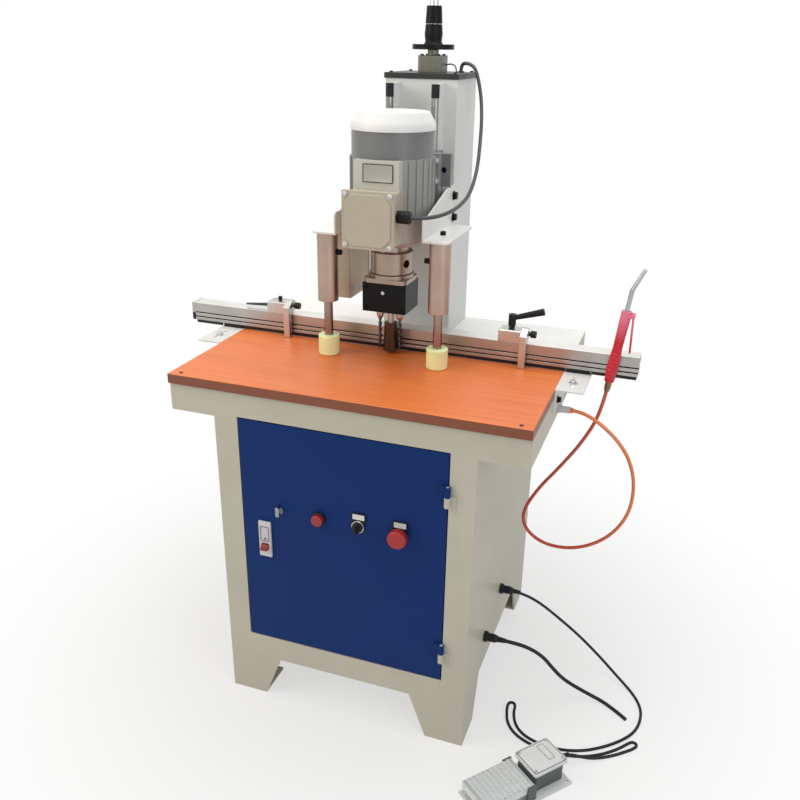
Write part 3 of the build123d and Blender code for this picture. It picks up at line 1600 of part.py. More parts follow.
# Air gun hung on the fence: handle with a hook, lever ears and a hose tail
tilt = math.radians(gun_tilt)
gun_frame = Plane(
    origin=(gun_x, gun_y, gun_z),
    x_dir=(math.cos(tilt), 0, -math.sin(tilt)),
    z_dir=(math.sin(tilt), 0, math.cos(tilt)),
)
gun_front = Plane(origin=gun_frame.origin, x_dir=gun_frame.x_dir, z_dir=-gun_frame.y_dir)
hook_x = gun_x + math.tan(tilt) * (fence_top - gun_z)
lever_half = gun_lever_width / 2 + slide_gap
with BuildPart() as gun_body:
    with BuildSketch(gun_front):
        with BuildLine():
            Polyline(
                (0, 0),
                (gun_foot_r, 0),
                (gun_foot_r, gun_foot),
                (gun_heel_r, gun_foot),
                (gun_r, gun_belly),
                (gun_waist_r, gun_waist),
                (gun_head_r, gun_shoulder),
                (gun_head_r, gun_length),
                (0, gun_length),
                close=True,
            )
        make_face()
    revolve(axis=Axis(gun_frame.origin, gun_frame.z_dir))
    with BuildSketch(gun_frame.offset(gun_lever_top - gun_ear)):
        for ear_side in (-1, 1):
            with Locations((gun_pivot_x / 2, ear_side * (lever_half + gun_ear / 2))):
                Rectangle(gun_pivot_x + 2 * gun_ear, gun_ear)
    extrude(amount=2 * gun_ear)
    with BuildSketch(gun_front.offset(-lever_half - gun_ear)):
        with Locations((gun_pivot_x, gun_lever_top)):
            Circle(gun_pivot_r)
    extrude(amount=2 * (lever_half + gun_ear))
    with BuildSketch(level(fence_top + slide_gap)):
        span(
            (hook_x - gun_hook_width / 2, gun_y),
            (hook_x + gun_hook_width / 2, fence_front + gun_hook_reach),
        )
    extrude(amount=gun_hook)
save(gun_body, "gun_body")

# Nozzle: straight out of the handle, then bent and tapered
nozzle_start = gun_frame.from_local_coords((0, 0, gun_length))
nozzle_knee = gun_frame.from_local_coords((0, 0, gun_length + nozzle_straight))
nozzle_way = gun_frame.z_dir.rotate(Axis.Y, nozzle_bend)
nozzle_end = nozzle_knee + nozzle_way * nozzle_length
with BuildPart() as gun_nozzle:
    with BuildSketch(Plane(origin=nozzle_start, x_dir=gun_frame.y_dir, z_dir=gun_frame.z_dir)):
        Circle(nozzle_r)
    with BuildSketch(Plane(origin=nozzle_knee, x_dir=gun_frame.y_dir, z_dir=gun_frame.z_dir)):
        Circle(nozzle_r)
    with BuildSketch(Plane(origin=nozzle_end, x_dir=gun_frame.y_dir, z_dir=nozzle_way)):
        Circle(nozzle_tip_r)
    loft(ruled=True)
save(gun_nozzle, "gun_nozzle")

# Gun lever: a bar on the right of the handle, hung from its ears
lever_frame = Plane(
    origin=gun_frame.from_local_coords((gun_pivot_x, 0, gun_lever_top)),
    x_dir=gun_frame.x_dir.rotate(Axis.Y, -gun_lever_angle),
    z_dir=gun_frame.z_dir.rotate(Axis.Y, -gun_lever_angle),
)
with BuildPart() as gun_lever:
    with BuildSketch(lever_frame.offset(-gun_lever_length)):
        Rectangle(gun_lever_thickness, gun_lever_width)
    extrude(amount=gun_lever_length)
    with BuildSketch(gun_front.offset(-gun_lever_width / 2)):
        with Locations((gun_pivot_x, gun_lever_top)):
            Circle(gun_ear)
    extrude(amount=gun_lever_width)
    with BuildSketch(gun_front.offset(-gun_lever_width / 2)):
        with Locations((gun_pivot_x, gun_lever_top)):
            Circle(gun_pivot_r + running_fit)
    extrude(amount=gun_lever_width, mode=Mode.SUBTRACT)
save(gun_lever, "gun_lever")


# Bend radius at each corner of a cord's route, as large as its two runs allow
def bend_radii(points):
    radii = []
    for before, corner, after in zip(points, points[1:], points[2:]):
        run_in = Vector(*corner) - Vector(*before)
        run_out = Vector(*after) - Vector(*corner)
        half_turn = math.radians(run_in.get_angle(run_out)) / 2
        radii.append(bend_share * min(run_in.length, run_out.length) / math.tan(half_turn))
    return radii


# A cord's tube along straight runs joined by arcs
def cord(points, diameter, label):
    radii = bend_radii(points)
    with BuildPart() as tube:
        with BuildLine() as route:
            FilletPolyline(*points, radius=radii)
        path = route.wire()
        with BuildSketch(Plane(origin=path @ 0, z_dir=path % 0)):
            Circle(diameter / 2)
        sweep(path=path)
    ratio = tube.part.volume / (math.pi * diameter**2 / 4 * path.length)
    print(f"{label}: length {path.length:.0f}, volume ratio {ratio:.4f}, bends", [round(r) for r in radii])
    save(tube, label)


pedal_floor = pedal_cable_d / 2 + floor_gap
mains_floor = mains_lead_d / 2 + floor_gap
gland_end = body_width / 2 + gland_hex + gland_nose
fitting_end = apron_width / 2 + fitting_hex + fitting_nose
pedal_end = pedal_frame.from_local_coords((pedal_box_length / 2 + pedal_gland, 0, pedal_gland_z))
pedal_lead = pedal_end + pedal_frame.x_dir * gland_run
hose_lead = gun_frame.from_local_coords((0, 0, -gun_run))
motor_gland_y = box_back - gland_setback
motor_gland_z = box_bottom + box_height - gland_drop
motor_gland_end = box_width / 2 + gland_length

# Pedal cable: droops to the floor, folds left and right behind the pedal and enters its gland
pedal_route = [
    (gland_end, upper_gland_y, upper_gland_z),
    (gland_end + gland_run, upper_gland_y, upper_gland_z),
    (388, 26, 192),
    (438, 52, 139),
    (496, 66, 86),
    (552, 60, 42),
    (606, 30, 14),
    (648, -6, pedal_floor),
    (671, -50, pedal_floor),
    (674, -95, pedal_floor),
    (664, -138, pedal_floor),
    (637, -176, pedal_floor),
    (598, -212, pedal_floor),
    (556, -239, pedal_floor),
    (508, -253, pedal_floor),
    (460, -251, pedal_floor),
    (420, -237, pedal_floor),
    (395, -210, pedal_floor),
    (384, -175, pedal_floor),
    (380, -148, pedal_floor),
    (366, -147, pedal_floor),
    (367, -175, pedal_floor),
    (377, -213, pedal_floor),
    (404, -244, pedal_floor),
    (450, -263, pedal_floor),
    (505, -267, pedal_floor),
    (556, -258, pedal_floor),
    (598, -235, pedal_floor),
    (627, -210, pedal_floor),
    (645, -190, pedal_floor),
    (662, -168, pedal_floor),
    (673, -177, pedal_floor),
    (655, -199, pedal_floor),
    (624, -229, pedal_floor),
    (584, -255, 6),
    (555, -268, 15),
    (pedal_lead.X, pedal_lead.Y, pedal_lead.Z),
    (pedal_end.X, pedal_end.Y, pedal_end.Z),
]
cord(pedal_route, pedal_cable_d, "pedal_cable")

# Mains lead: droops to the floor and ends bare
mains_route = [
    (gland_end, lower_gland_y, lower_gland_z),
    (gland_end + gland_run, lower_gland_y, lower_gland_z),
    (394, -142, 180),
    (432, -116, 142),
    (456, -99, 100),
    (484, -83, 60),
    (536, -58, 17),
    (594, -66, mains_floor),
    (640, -103, mains_floor),
]
cord(mains_route, mains_lead_d, "mains_lead")

# Air hose: a hanging loop from the apron to the gun
hose_route = [
    (fitting_end, fitting_y, fitting_z),
    (fitting_end + gland_run, fitting_y, fitting_z),
    (490, -36, table_height - 88),
    (531, -32, table_height - 122),
    (562, -27, table_height - 164),
    (581, -21, table_height - 220),
    (583, -16, table_height - 289),
    (565, -12, table_height - 347),
    (527, -9, table_height - 398),
    (470, -7, table_height - 433),
    (408, -6, table_height - 440),
    (362, -5, table_height - 422),
    (338, -5, table_height - 389),
    (340, -5, table_height - 349),
    (371, -6, table_height - 287),
    (413, -7, table_height - 227),
    (460, -7, table_height - 151),
    (hose_lead.X, hose_lead.Y, hose_lead.Z),
    (gun_x, gun_y, gun_z),
]
cord(hose_route, air_hose_d, "air_hose")

# Motor cable: from the terminal box round the right bracket and up to the column cap
motor_route = [
    (motor_gland_end, motor_gland_y, motor_gland_z),
    (motor_gland_end + gland_run, motor_gland_y, motor_gland_z),
    (137, -84, table_height + 338),
    (150, -10, table_height + 345),
    (152, 66, table_height + 361),
    (148, 131, table_height + 403),
    (141, 172, table_height + 453),
    (133, 208, table_height + 501),
    (122, 237, table_height + 547),
    (110, 252, table_height + 584),
    (99, 259, table_height + 611),
    (83, 264, table_height + 621),
    (entry_x, entry_y, cap_top + entry_height + entry_run),
    (entry_x, entry_y, cap_top + entry_height),
]
cord(motor_route, motor_cable_d, "motor_cable")
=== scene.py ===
import itertools
import json
import math

import bmesh
import bpy
from mathutils import Matrix, Vector


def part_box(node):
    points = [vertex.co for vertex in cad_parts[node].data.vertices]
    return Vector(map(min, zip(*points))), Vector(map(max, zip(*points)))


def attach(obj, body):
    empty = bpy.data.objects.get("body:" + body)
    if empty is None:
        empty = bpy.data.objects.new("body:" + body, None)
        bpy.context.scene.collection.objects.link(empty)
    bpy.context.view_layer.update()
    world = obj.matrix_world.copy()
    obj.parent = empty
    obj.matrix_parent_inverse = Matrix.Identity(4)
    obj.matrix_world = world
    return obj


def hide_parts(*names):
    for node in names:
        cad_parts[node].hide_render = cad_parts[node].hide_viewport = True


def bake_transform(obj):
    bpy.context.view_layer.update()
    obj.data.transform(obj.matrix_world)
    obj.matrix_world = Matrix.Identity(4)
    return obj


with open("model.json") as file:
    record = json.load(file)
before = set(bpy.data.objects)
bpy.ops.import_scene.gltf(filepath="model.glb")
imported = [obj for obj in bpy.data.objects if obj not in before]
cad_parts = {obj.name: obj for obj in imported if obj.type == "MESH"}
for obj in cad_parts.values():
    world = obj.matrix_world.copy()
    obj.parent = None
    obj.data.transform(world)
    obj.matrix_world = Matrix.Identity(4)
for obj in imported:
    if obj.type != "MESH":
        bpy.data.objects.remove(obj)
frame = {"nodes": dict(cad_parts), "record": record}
nodes = frame["nodes"]
bodyOf = {node: body for body, members in frame["record"]["behaviour"]["bodies"].items() for node in members}
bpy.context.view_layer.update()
mm = 0.001
up, front, back, left, right = (0, 0, 1), (0, -1, 0), (0, 1, 0), (-1, 0, 0), (1, 0, 0)
print("frame loaded:", len(nodes), "nodes")

# camera, found from the straight edges of the cabinet
viewpoint = {
    "place": (0.64426, -1.7724, 1.48574),
    "yaw": 0.3386,         # radians
    "pitch": 0.4064,       # down
    "roll": 0.0161,
    "focal": 851.314,      # pixels of the frame
    "frame": 800,
    "axisDrop": 7.037,     # pixels from the middle of the frame down to the lens axis
    "sensor": 36.0,
}
bpy.ops.object.camera_add(location=viewpoint["place"])
camera = bpy.context.object
tilt = math.pi / 2 - viewpoint["pitch"]
camera.rotation_euler = (Matrix.Rotation(viewpoint["yaw"], 3, "Z") @ Matrix.Rotation(tilt, 3, "X")
                         @ Matrix.Rotation(viewpoint["roll"], 3, "Z")).to_euler()
camera.data.sensor_width = viewpoint["sensor"]
camera.data.lens = viewpoint["focal"] * viewpoint["sensor"] / viewpoint["frame"]
camera.data.shift_y = viewpoint["axisDrop"] / viewpoint["frame"]
bpy.context.scene.camera = camera
bpy.context.scene.view_settings.view_transform = "Standard"


def linear(code):
    channels = [int(code[i:i + 2], 16) / 255 for i in (1, 3, 5)]
    return [c / 12.92 if c <= 0.04045 else ((c + 0.055) / 1.055) ** 2.4 for c in channels] + [1.0]


def addNode(tree, kind, settings=None, links=None):
    node = tree.nodes.new(kind)
    for key, value in (settings or {}).items():
        if key in node.inputs:
            node.inputs[key].default_value = value
        else:
            setattr(node, key, value)
    for socket, source in (links or {}).items():
        tree.links.new(source, node.inputs[socket])
    return node


# constant values go straight onto the sockets of the shader
def setShader(finish, values):
    for socket, value in values.items():
        finish.node_tree.nodes["Principled BSDF"].inputs[socket].default_value = value


# starts a finish: gives it with its node tree, its shader and the place on the piece
def startFinish(name, values):
    finish = bpy.data.materials.new(name)
    finish.use_nodes = True
    setShader(finish, values)
    tree = finish.node_tree
    return finish, tree, tree.nodes["Principled BSDF"], addNode(tree, "ShaderNodeTexCoord").outputs["Object"]


# stage: pale floor that fades to white, white surroundings, soft light from both sides and above
stage = {
    "floorSize": 16.0,
    "floorColour": "#E2E1DE",
    "floorRoughness": 0.9,
    "floorGloss": 0.1,
    "nearWhite": 0.6,         # share of plain white in the floor at the machine, for the camera
    "fadeStart": 0.4,         # metres from the middle
    "fadeEnd": 1.3,
    "skyStrength": 0.42,      # what the surroundings give to plain surfaces
    "lamps": {
        "keyLamp": {"place": (-2.4, -1.9, 2.5), "size": 2.2, "power": 46, "colour": "#FFF6EA"},
        "fillLamp": {"place": (2.6, -2.2, 1.7), "size": 2.0, "power": 22, "colour": "#F4F6FF"},
        "topLamp": {"place": (0.1, 0.1, 3.2), "size": 2.4, "power": 44, "colour": "#FFFFFF"},
    },
    "aim": (0.05, 0.0, 0.75),
}
bpy.ops.mesh.primitive_plane_add(size=stage["floorSize"])
floor = bpy.context.object
floor.name = "floor"
floorPaint, tree, floorShader, spot = startFinish("painted floor", {
    "Base Color": linear(stage["floorColour"]), "Roughness": stage["floorRoughness"],
    "Specular IOR Level": stage["floorGloss"]})
world = bpy.data.worlds.new("studio")
bpy.context.scene.world = world
world.use_nodes = True
sky = world.node_tree
seenBy = {}
for owner in (tree, sky):     # rays that show the surroundings as they look
    rays = addNode(owner, "ShaderNodeLightPath").outputs
    direct = addNode(owner, "ShaderNodeMath", {"operation": "MAXIMUM"},
                     {0: rays["Is Camera Ray"], 1: rays["Is Glossy Ray"]})
    through = addNode(owner, "ShaderNodeMath", {"operation": "MAXIMUM"},
                      {0: direct.outputs[0], 1: rays["Is Transmission Ray"]})
    seenBy[owner] = through.outputs[0]
reach = addNode(tree, "ShaderNodeVectorMath", {"operation": "LENGTH"}, {0: spot})
whitening = addNode(tree, "ShaderNodeMapRange",
                    {"interpolation_type": "SMOOTHSTEP", "From Min": stage["fadeStart"],
                     "From Max": stage["fadeEnd"], "To Min": stage["nearWhite"]},
                    {"Value": reach.outputs["Value"]})
share = addNode(tree, "ShaderNodeMath", {"operation": "MULTIPLY"}, {0: whitening.outputs[0], 1: seenBy[tree]})
white = addNode(tree, "ShaderNodeEmission", {"Color": linear("#FFFFFF")})
blend = addNode(tree, "ShaderNodeMixShader",
                links={0: share.outputs[0], 1: floorShader.outputs[0], 2: white.outputs[0]})
tree.links.new(blend.outputs[0], tree.nodes["Material Output"].inputs["Surface"])
floor.data.materials.append(floorPaint)
skyLevel = addNode(sky, "ShaderNodeMapRange", {"To Min": stage["skyStrength"]}, {"Value": seenBy[sky]})
sky.links.new(skyLevel.outputs[0], sky.nodes["Background"].inputs["Strength"])
sky.nodes["Background"].inputs["Color"].default_value = linear("#FFFFFF")
for lampName, lamp in stage["lamps"].items():
    bpy.ops.object.light_add(type="AREA", location=lamp["place"])
    light = bpy.context.object
    light.name = lampName
    light.data.shape = "DISK"
    light.data.size = lamp["size"]
    light.data.energy = lamp["power"]
    light.data.color = linear(lamp["colour"])[:3]
    light.rotation_euler = (Vector(stage["aim"]) - light.location).to_track_quat("-Z", "Y").to_euler()
print("camera and stage set")

# kinds of finish: depth of the grain and size of the clouds in millimetres, how dark the clouds get and
# where, steps from the roughness and the part of the pattern that they are spread over
coat = {"detail": 2.0, "bump": 0.12, "depth": 0.4, "cloud": 140.0, "cloudDetail": 4.0, "shade": 0.93,
        "tones": (0.35, 0.65), "smoother": 0.05, "rougher": 0.07, "reads": (0, 1)}
metal = {"detail": 3.0, "bump": 0.05, "depth": 0.1, "cloud": 60.0, "cloudDetail": 3.0, "shade": 0.86,
         "tones": (0.3, 0.7), "smoother": 0.06, "rougher": 0.08, "reads": (0.3, 0.7)}
plastic = {"detail": 2.0, "bump": 0.15, "cloud": 25.0, "cloudDetail": 3.0, "shade": 0.85,
           "tones": (0, 1), "smoother": 0.08, "rougher": 0.1, "reads": (0, 1)}


# fine grain in the surface and slow clouds in its colour; on a stretched grain the streaks give the roughness
def surfaced(kind, name, colour, roughness, grainSize, depth, values, stretch=None):
    finish, tree, shader, spot = startFinish(name, values)
    lay = spot
    if stretch:
        lay = addNode(tree, "ShaderNodeMapping", {"Scale": stretch}, {"Vector": spot}).outputs[0]
    grain = addNode(tree, "ShaderNodeTexNoise", {"Scale": 1 / (grainSize * mm), "Detail": kind["detail"]},
                    {"Vector": lay})
    bump = addNode(tree, "ShaderNodeBump", {"Strength": kind["bump"], "Distance": depth * mm},
                   {"Height": grain.outputs[0]})
    cloud = addNode(tree, "ShaderNodeTexNoise",
                    {"Scale": 1 / (kind["cloud"] * mm), "Detail": kind["cloudDetail"]}, {"Vector": spot})
    tone = addNode(tree, "ShaderNodeValToRGB", links={"Fac": cloud.outputs[0]})
    for element, place, share in zip(tone.color_ramp.elements, kind["tones"], (kind["shade"], 1)):
        element.position = place
        element.color = [c * share for c in linear(colour)[:3]] + [1]
    sheen = addNode(tree, "ShaderNodeMapRange",
                    {"From Min": kind["reads"][0], "From Max": kind["reads"][1],
                     "To Min": roughness - kind["smoother"], "To Max": roughness + kind["rougher"]},
                    {"Value": (grain if stretch else cloud).outputs[0]})
    for socket, source in {"Base Color": tone, "Roughness": sheen, "Normal": bump}.items():
        tree.links.new(source.outputs[0], shader.inputs[socket])
    return finish


# powder coat and enamel: a fine orange peel and a soft sheen
def coating(name, colour, roughness, peel, gloss):
    return surfaced(coat, name, colour, roughness, peel, coat["depth"], {"Specular IOR Level": gloss})


# bare metal: streaks from drawing, grinding or turning, coarser than real ones so that they show, along the
# axis with the smallest stretch
def bareMetal(name, colour, roughness, streak, stretch):
    return surfaced(metal, name, colour, roughness, streak, metal["depth"], {"Metallic": 1.0}, stretch)


# moulded plastic and rubber: one colour through, a tool grain, coarsened to show, and a few dull patches
def moulded(name, colour, roughness, grainSize, depth):
    return surfaced(plastic, name, colour, roughness, grainSize, depth, {"IOR": 1.5})


# sheet metal: baked powder, matt and even
creamCoat = coating("powder coat cream", "#C4C0AE", 0.42, 1.6, 0.35)
blueCoat = coating("powder coat blue", "#0C2F6B", 0.48, 1.6, 0.14)
paleCoat = coating("powder coat light grey", "#DEDFDB", 0.4, 1.6, 0.4)
# deck: the cream made paler on the upward faces, painted highlight
deckHighlightCoat = coating("powder coat cream, painted highlight", "#F2F1EC", 0.42, 1.6, 0.4)
bracketCoat = coating("powder coat white", "#EAE9E5", 0.4, 1.6, 0.4)
# housings and castings: enamel, smoother and a little shinier
terminalEnamel = coating("enamel stone", "#BCB3A1", 0.34, 2.0, 0.4)
neckEnamel = coating("enamel pale stone", "#CBCABF", 0.34, 2.0, 0.4)
valveEnamel = coating("enamel beige", "#FAF0DC", 0.34, 2.0, 0.4)
# front of the valve box: a darker copy of its beige, painted shade
valveShadeEnamel = coating("enamel beige, painted shade", "#BAB2A0", 0.34, 2.0, 0.4)
motorEnamel = coating("enamel grey", "#969792", 0.3, 1.2, 0.6)
# fan cover: one grey paint, a darker copy on the cowl for painted shade and a white copy on the canopy for
# painted highlight
cowlShadeEnamel = coating("enamel, painted shade on the cowl", "#767876", 0.34, 1.2, 0.5)
shieldEnamel = coating("enamel warm grey", "#A79D95", 0.3, 1.2, 0.6)
canopyHighlightEnamel = coating("enamel, painted highlight on the canopy", "#ECECE9", 0.35, 1.8, 0.4)
blackEnamel = coating("enamel black", "#2A2B2B", 0.4, 1.4, 0.35)
carriageEnamel = coating("enamel slate", "#77797B", 0.4, 1.4, 0.5)
# pedal and fence brackets: a thin sprayed coat with a finer grain
alloySpray = coating("sprayed alloy", "#E4E7E6", 0.42, 0.9, 0.4)
# sides of the pedal: a dark grey, partly a darker paint and partly painted shade
sideShadeSpray = coating("sprayed dark grey alloy, partly painted shade", "#5A605E", 0.42, 0.9, 0.4)
zincPrimer = coating("zinc primer", "#DEDDD9", 0.42, 0.9, 0.4)
# treadle between its ribs: a darker copy of the alloy, painted shade
gapShadeSpray = coating("sprayed alloy, painted shade between ribs", "#B4BAB9", 0.5, 0.9, 0.3)
# aluminium: soft highlights drawn out along the bars and up the tubes
aluminium = bareMetal("anodised aluminium", "#CBC9C4", 0.34, 1.2, (0.02, 1, 1))
# fence: a lighter copy of its aluminium on the top, painted highlight, and a darker one on the front, painted
# shade
litTopAluminium = bareMetal("aluminium, painted highlight", "#EAE9E4", 0.38, 1.2, (0.02, 1, 1))
shadedFrontAluminium = bareMetal("aluminium, painted shade", "#B3B0AA", 0.36, 1.2, (0.02, 1, 1))
# clamp cylinders: aluminium tinted brown, painted reflection of the orange table
reflectionTintAluminium = bareMetal("drawn aluminium, painted warm reflection", "#B09A8C", 0.36, 1.2, (1, 1, 0.05))
capAluminium = bareMetal("hard anodised aluminium", "#77776C", 0.42, 1.4, (1, 1, 1))
# steel, platings and brass: mirror bright on the rods, cloudy on the bolts, brown on the tools
# collar, gearbox cover and rotor: steel tinted warm brown, painted reflection of the orange table
reflectionTintSteel = bareMetal("machined steel, painted warm reflection", "#A08F80", 0.32, 0.8, (1, 1, 0.08))
spindleSteel = bareMetal("turned steel", "#B9B4AE", 0.28, 0.8, (1, 1, 0.08))
groundSteel = bareMetal("hard chrome on steel", "#D4D2D0", 0.14, 0.6, (1, 1, 0.2))
# guide posts: steel darkened to grey, painted dark reflection
darkReflectionSteel = bareMetal("ground steel, painted dark reflection", "#8F8F8F", 0.2, 0.6, (1, 1, 0.2))
rodSteel = bareMetal("worn chrome on steel", "#9A8880", 0.22, 0.6, (1, 1, 0.2))
# lock wing: nickel tinted green, painted reflection
greenReflectionNickel = bareMetal("nickel plate, painted green reflection", "#98A3A2", 0.2, 0.8, (1, 1, 1))
tubeChrome = bareMetal("chromed tube", "#B4B7B8", 0.16, 0.6, (1, 1, 0.2))
zincPlate = bareMetal("zinc plate", "#CDCFD0", 0.36, 3.0, (1, 1, 1))
# slots of the fence: dark aluminium, painted shade
slotShadeAluminium = bareMetal("aluminium, painted shade in slots", "#4A4946", 0.5, 1.2, (0.02, 1, 1))
agedBrass = bareMetal("aged brass", "#8C6A4A", 0.36, 0.8, (1, 1, 0.2))
blackOxide = bareMetal("black oxide steel", "#232324", 0.42, 1.0, (1, 1, 1))
bitSteel = bareMetal("oxidised tool steel", "#514233", 0.4, 0.8, (1, 1, 0.3))
drillSteel = bareMetal("blued drill steel", "#4E4A48", 0.34, 0.6, (1, 1, 0.3))
plateAluminium = bareMetal("brushed plate aluminium", "#AFAEA6", 0.4, 0.7, (0.03, 1, 1))
# mouldings, sheaths and hose: satin, shinier on lenses and hose
blackPlastic = moulded("black nylon", "#161819", 0.45, 0.6, 0.08)
gripPlastic = moulded("dark grey nylon", "#3A3B3C", 0.4, 0.6, 0.08)
whitePlastic = moulded("white ABS", "#D6D4D6", 0.4, 0.6, 0.05)
redPlastic = moulded("red ABS", "#AC2620", 0.34, 0.6, 0.04)
rockerPlastic = moulded("dark red ABS", "#8A2024", 0.3, 0.6, 0.04)
amberPlastic = moulded("amber acrylic", "#8A5A2C", 0.25, 0.6, 0.02)
gunPlastic = moulded("red polypropylene", "#D2172C", 0.32, 0.8, 0.06)
sheathRubber = moulded("rubber sheath", "#232426", 0.5, 0.8, 0.06)
greySheath = moulded("grey PVC sheath", "#3B3D40", 0.38, 0.8, 0.05)
hosePlastic = moulded("orange polyurethane", "#CC4630", 0.25, 2.0, 0.03)
legendPlastic = moulded("legend plate plastic", "#E8E9E9", 0.35, 0.5, 0.02)
framePlastic = moulded("grey ABS", "#77777B", 0.4, 0.6, 0.04)
capPlastic = moulded("light grey ABS", "#BCBAB4", 0.4, 0.6, 0.04)
for dark in (blackPlastic, gripPlastic, sheathRubber):     # dull skins, so they stay black in a white room
    setShader(dark, {"Specular IOR Level": 0.25})

# pads of cast nylon let some light into the rim
nylon = moulded("cast nylon", "#F6FFC0", 0.38, 1.0, 0.05)
padGlow = {"Subsurface Weight": 0.4, "Subsurface Radius": (0.012, 0.012, 0.006), "Subsurface Scale": 0.6}
setShader(nylon, padGlow)

# red lens: coloured plastic with a bright skin
lensPlastic = moulded("red lens acrylic", "#A01C26", 0.16, 3.0, 0.02)
setShader(lensPlastic, {"Coat Weight": 0.1})


# a colour that changes along a direction, between two distances from the origin in millimetres
def fade(finish, way, start, end, colour):
    tree = finish.node_tree
    shader = tree.nodes["Principled BSDF"]
    spot = addNode(tree, "ShaderNodeTexCoord").outputs["Object"]
    along = addNode(tree, "ShaderNodeVectorMath", {"operation": "DOT_PRODUCT"}, {0: spot})
    along.inputs[1].default_value = way
    share = addNode(tree, "ShaderNodeMapRange", {"From Min": start * mm, "From Max": end * mm},
                    {"Value": along.outputs["Value"]})
    faded = addNode(tree, "ShaderNodeMixRGB", {"Color2": linear(colour)},
                    {"Fac": share.outputs[0], "Color1": shader.inputs["Base Color"].links[0].from_socket})
    tree.links.new(faded.outputs[0], shader.inputs["Base Color"])


# gun handle: red, paling to pink towards its head, a painted highlight
gunFoot = Vector((498.5, -7.5, 806))
gunLean = math.radians(7)
gunAxis = Vector((math.sin(gunLean), 0, math.cos(gunLean)))
gunHighlightFade = {"start": 104.0, "end": 158.0, "pale": "#E9788F"}     # millimetres up from the foot
footLevel = gunFoot.dot(gunAxis)
fade(gunPlastic, gunAxis, footLevel + gunHighlightFade["start"], footLevel + gunHighlightFade["end"], gunHighlightFade["pale"])
# hose: red at the gun, a paler orange towards its fitting
hoseFade = {"start": 9.0, "end": 17.0, "pale": "#EE8248"}       # millimetres towards the front
fade(hosePlastic, front, hoseFade["start"], hoseFade["end"], hoseFade["pale"])

# laminate: orange wood print, long dark streaks along the board and a satin skin; sizes in millimetres
laminate = {
    "light": "#E07A38", "middle": "#DA7031", "dark": "#CE632A", "tonePlaces": (0.28, 0.45, 0.62),
    "grain": {"width": 9.0, "length": 260.0, "detail": 5.0, "waver": 0.8},
    "pores": {"width": 1.6, "length": 26.0, "detail": 2.0, "waver": 0.0},
    "poreEdge": (0.62, 0.74), "poreShare": 0.3, "poreBump": 0.1, "poreDepth": 0.15, "roughness": (0.36, 0.5),
    "skin": {"Coat Weight": 0.15, "Coat Roughness": 0.3},
}
laminateTop, tree, shader, spot = startFinish("wood print laminate", laminate["skin"])
patterns = {}
for patternName in ("grain", "pores"):
    look = laminate[patternName]
    drawn = addNode(tree, "ShaderNodeMapping", {"Scale": (look["width"] / look["length"], 1, 1)},
                    {"Vector": spot})
    noise = addNode(tree, "ShaderNodeTexNoise", {"Scale": 1 / (look["width"] * mm), "Detail": look["detail"],
                                                 "Distortion": look["waver"]}, {"Vector": drawn.outputs[0]})
    patterns[patternName] = noise.outputs[0]
tone = addNode(tree, "ShaderNodeValToRGB", links={"Fac": patterns["grain"]})
darkPlace, middlePlace, lightPlace = laminate["tonePlaces"]
ramp = tone.color_ramp.elements
ramp[0].position, ramp[1].position = darkPlace, lightPlace
ramp[0].color, ramp[1].color = linear(laminate["dark"]), linear(laminate["light"])
ramp.new(middlePlace).color = linear(laminate["middle"])
poreMask = addNode(tree, "ShaderNodeMapRange",
                   {"From Min": laminate["poreEdge"][0], "From Max": laminate["poreEdge"][1],
                    "To Max": laminate["poreShare"]}, {"Value": patterns["pores"]})
streaked = addNode(tree, "ShaderNodeMixRGB", {"Color2": linear(laminate["dark"])},
                   {"Fac": poreMask.outputs[0], "Color1": tone.outputs[0]})
satin = addNode(tree, "ShaderNodeMapRange",
                {"To Min": laminate["roughness"][0], "To Max": laminate["roughness"][1]},
                {"Value": patterns["grain"]})
bump = addNode(tree, "ShaderNodeBump",
               {"Strength": laminate["poreBump"], "Distance": laminate["poreDepth"] * mm},
               {"Height": patterns["pores"]})
for socket, source in {"Base Color": streaked, "Roughness": satin, "Normal": bump}.items():
    tree.links.new(source.outputs[0], shader.inputs[socket])
edgeBand = moulded("brown edge band", "#84492C", 0.45, 1.2, 0.05)
print("finishes made:", len(bpy.data.materials))


def deselect():
    bpy.ops.object.select_all(action="DESELECT")


def takeUp(piece):
    deselect()
    piece.select_set(True)
    bpy.context.view_layer.objects.active = piece


def edit(piece):
    takeUp(piece)
    bpy.ops.object.mode_set(mode="EDIT")


# opens the new primitive for shaping, with its place already in its mesh
def openUp():
    bpy.ops.object.transform_apply()
    bpy.ops.object.mode_set(mode="EDIT")
    return bpy.context.object


def closeUp():
    bpy.ops.object.mode_set(mode="OBJECT")


# starts a piece from a block, or from a round or a prism that stands on its foot; sizes in metres
def openBlock(size, middle=(0, 0, 0)):
    deselect()
    bpy.ops.mesh.primitive_cube_add(size=1, scale=size, location=middle)
    return openUp()


def openRound(sides, width, high, foot=0):
    deselect()
    bpy.ops.mesh.primitive_cylinder_add(vertices=sides, radius=width / 2, depth=high,
                                        location=(0, 0, foot + high / 2))
    return openUp()


# selects what passes the test on the piece in hand
def pick(kind, test):
    bpy.ops.mesh.select_mode(type=kind)
    bpy.ops.mesh.select_all(action="DESELECT")
    mesh = bpy.context.object.data
    cage = bmesh.from_edit_mesh(mesh)
    for part in {"FACE": cage.faces, "EDGE": cage.edges, "VERT": cage.verts}[kind]:
        part.select_set(test(part))
    bmesh.update_edit_mesh(mesh)


# faces by their middle and the way that they face, edges by their middle and the way that they run
def pickFaces(test):
    pick("FACE", lambda face: test(face.calc_center_median(), face.normal))


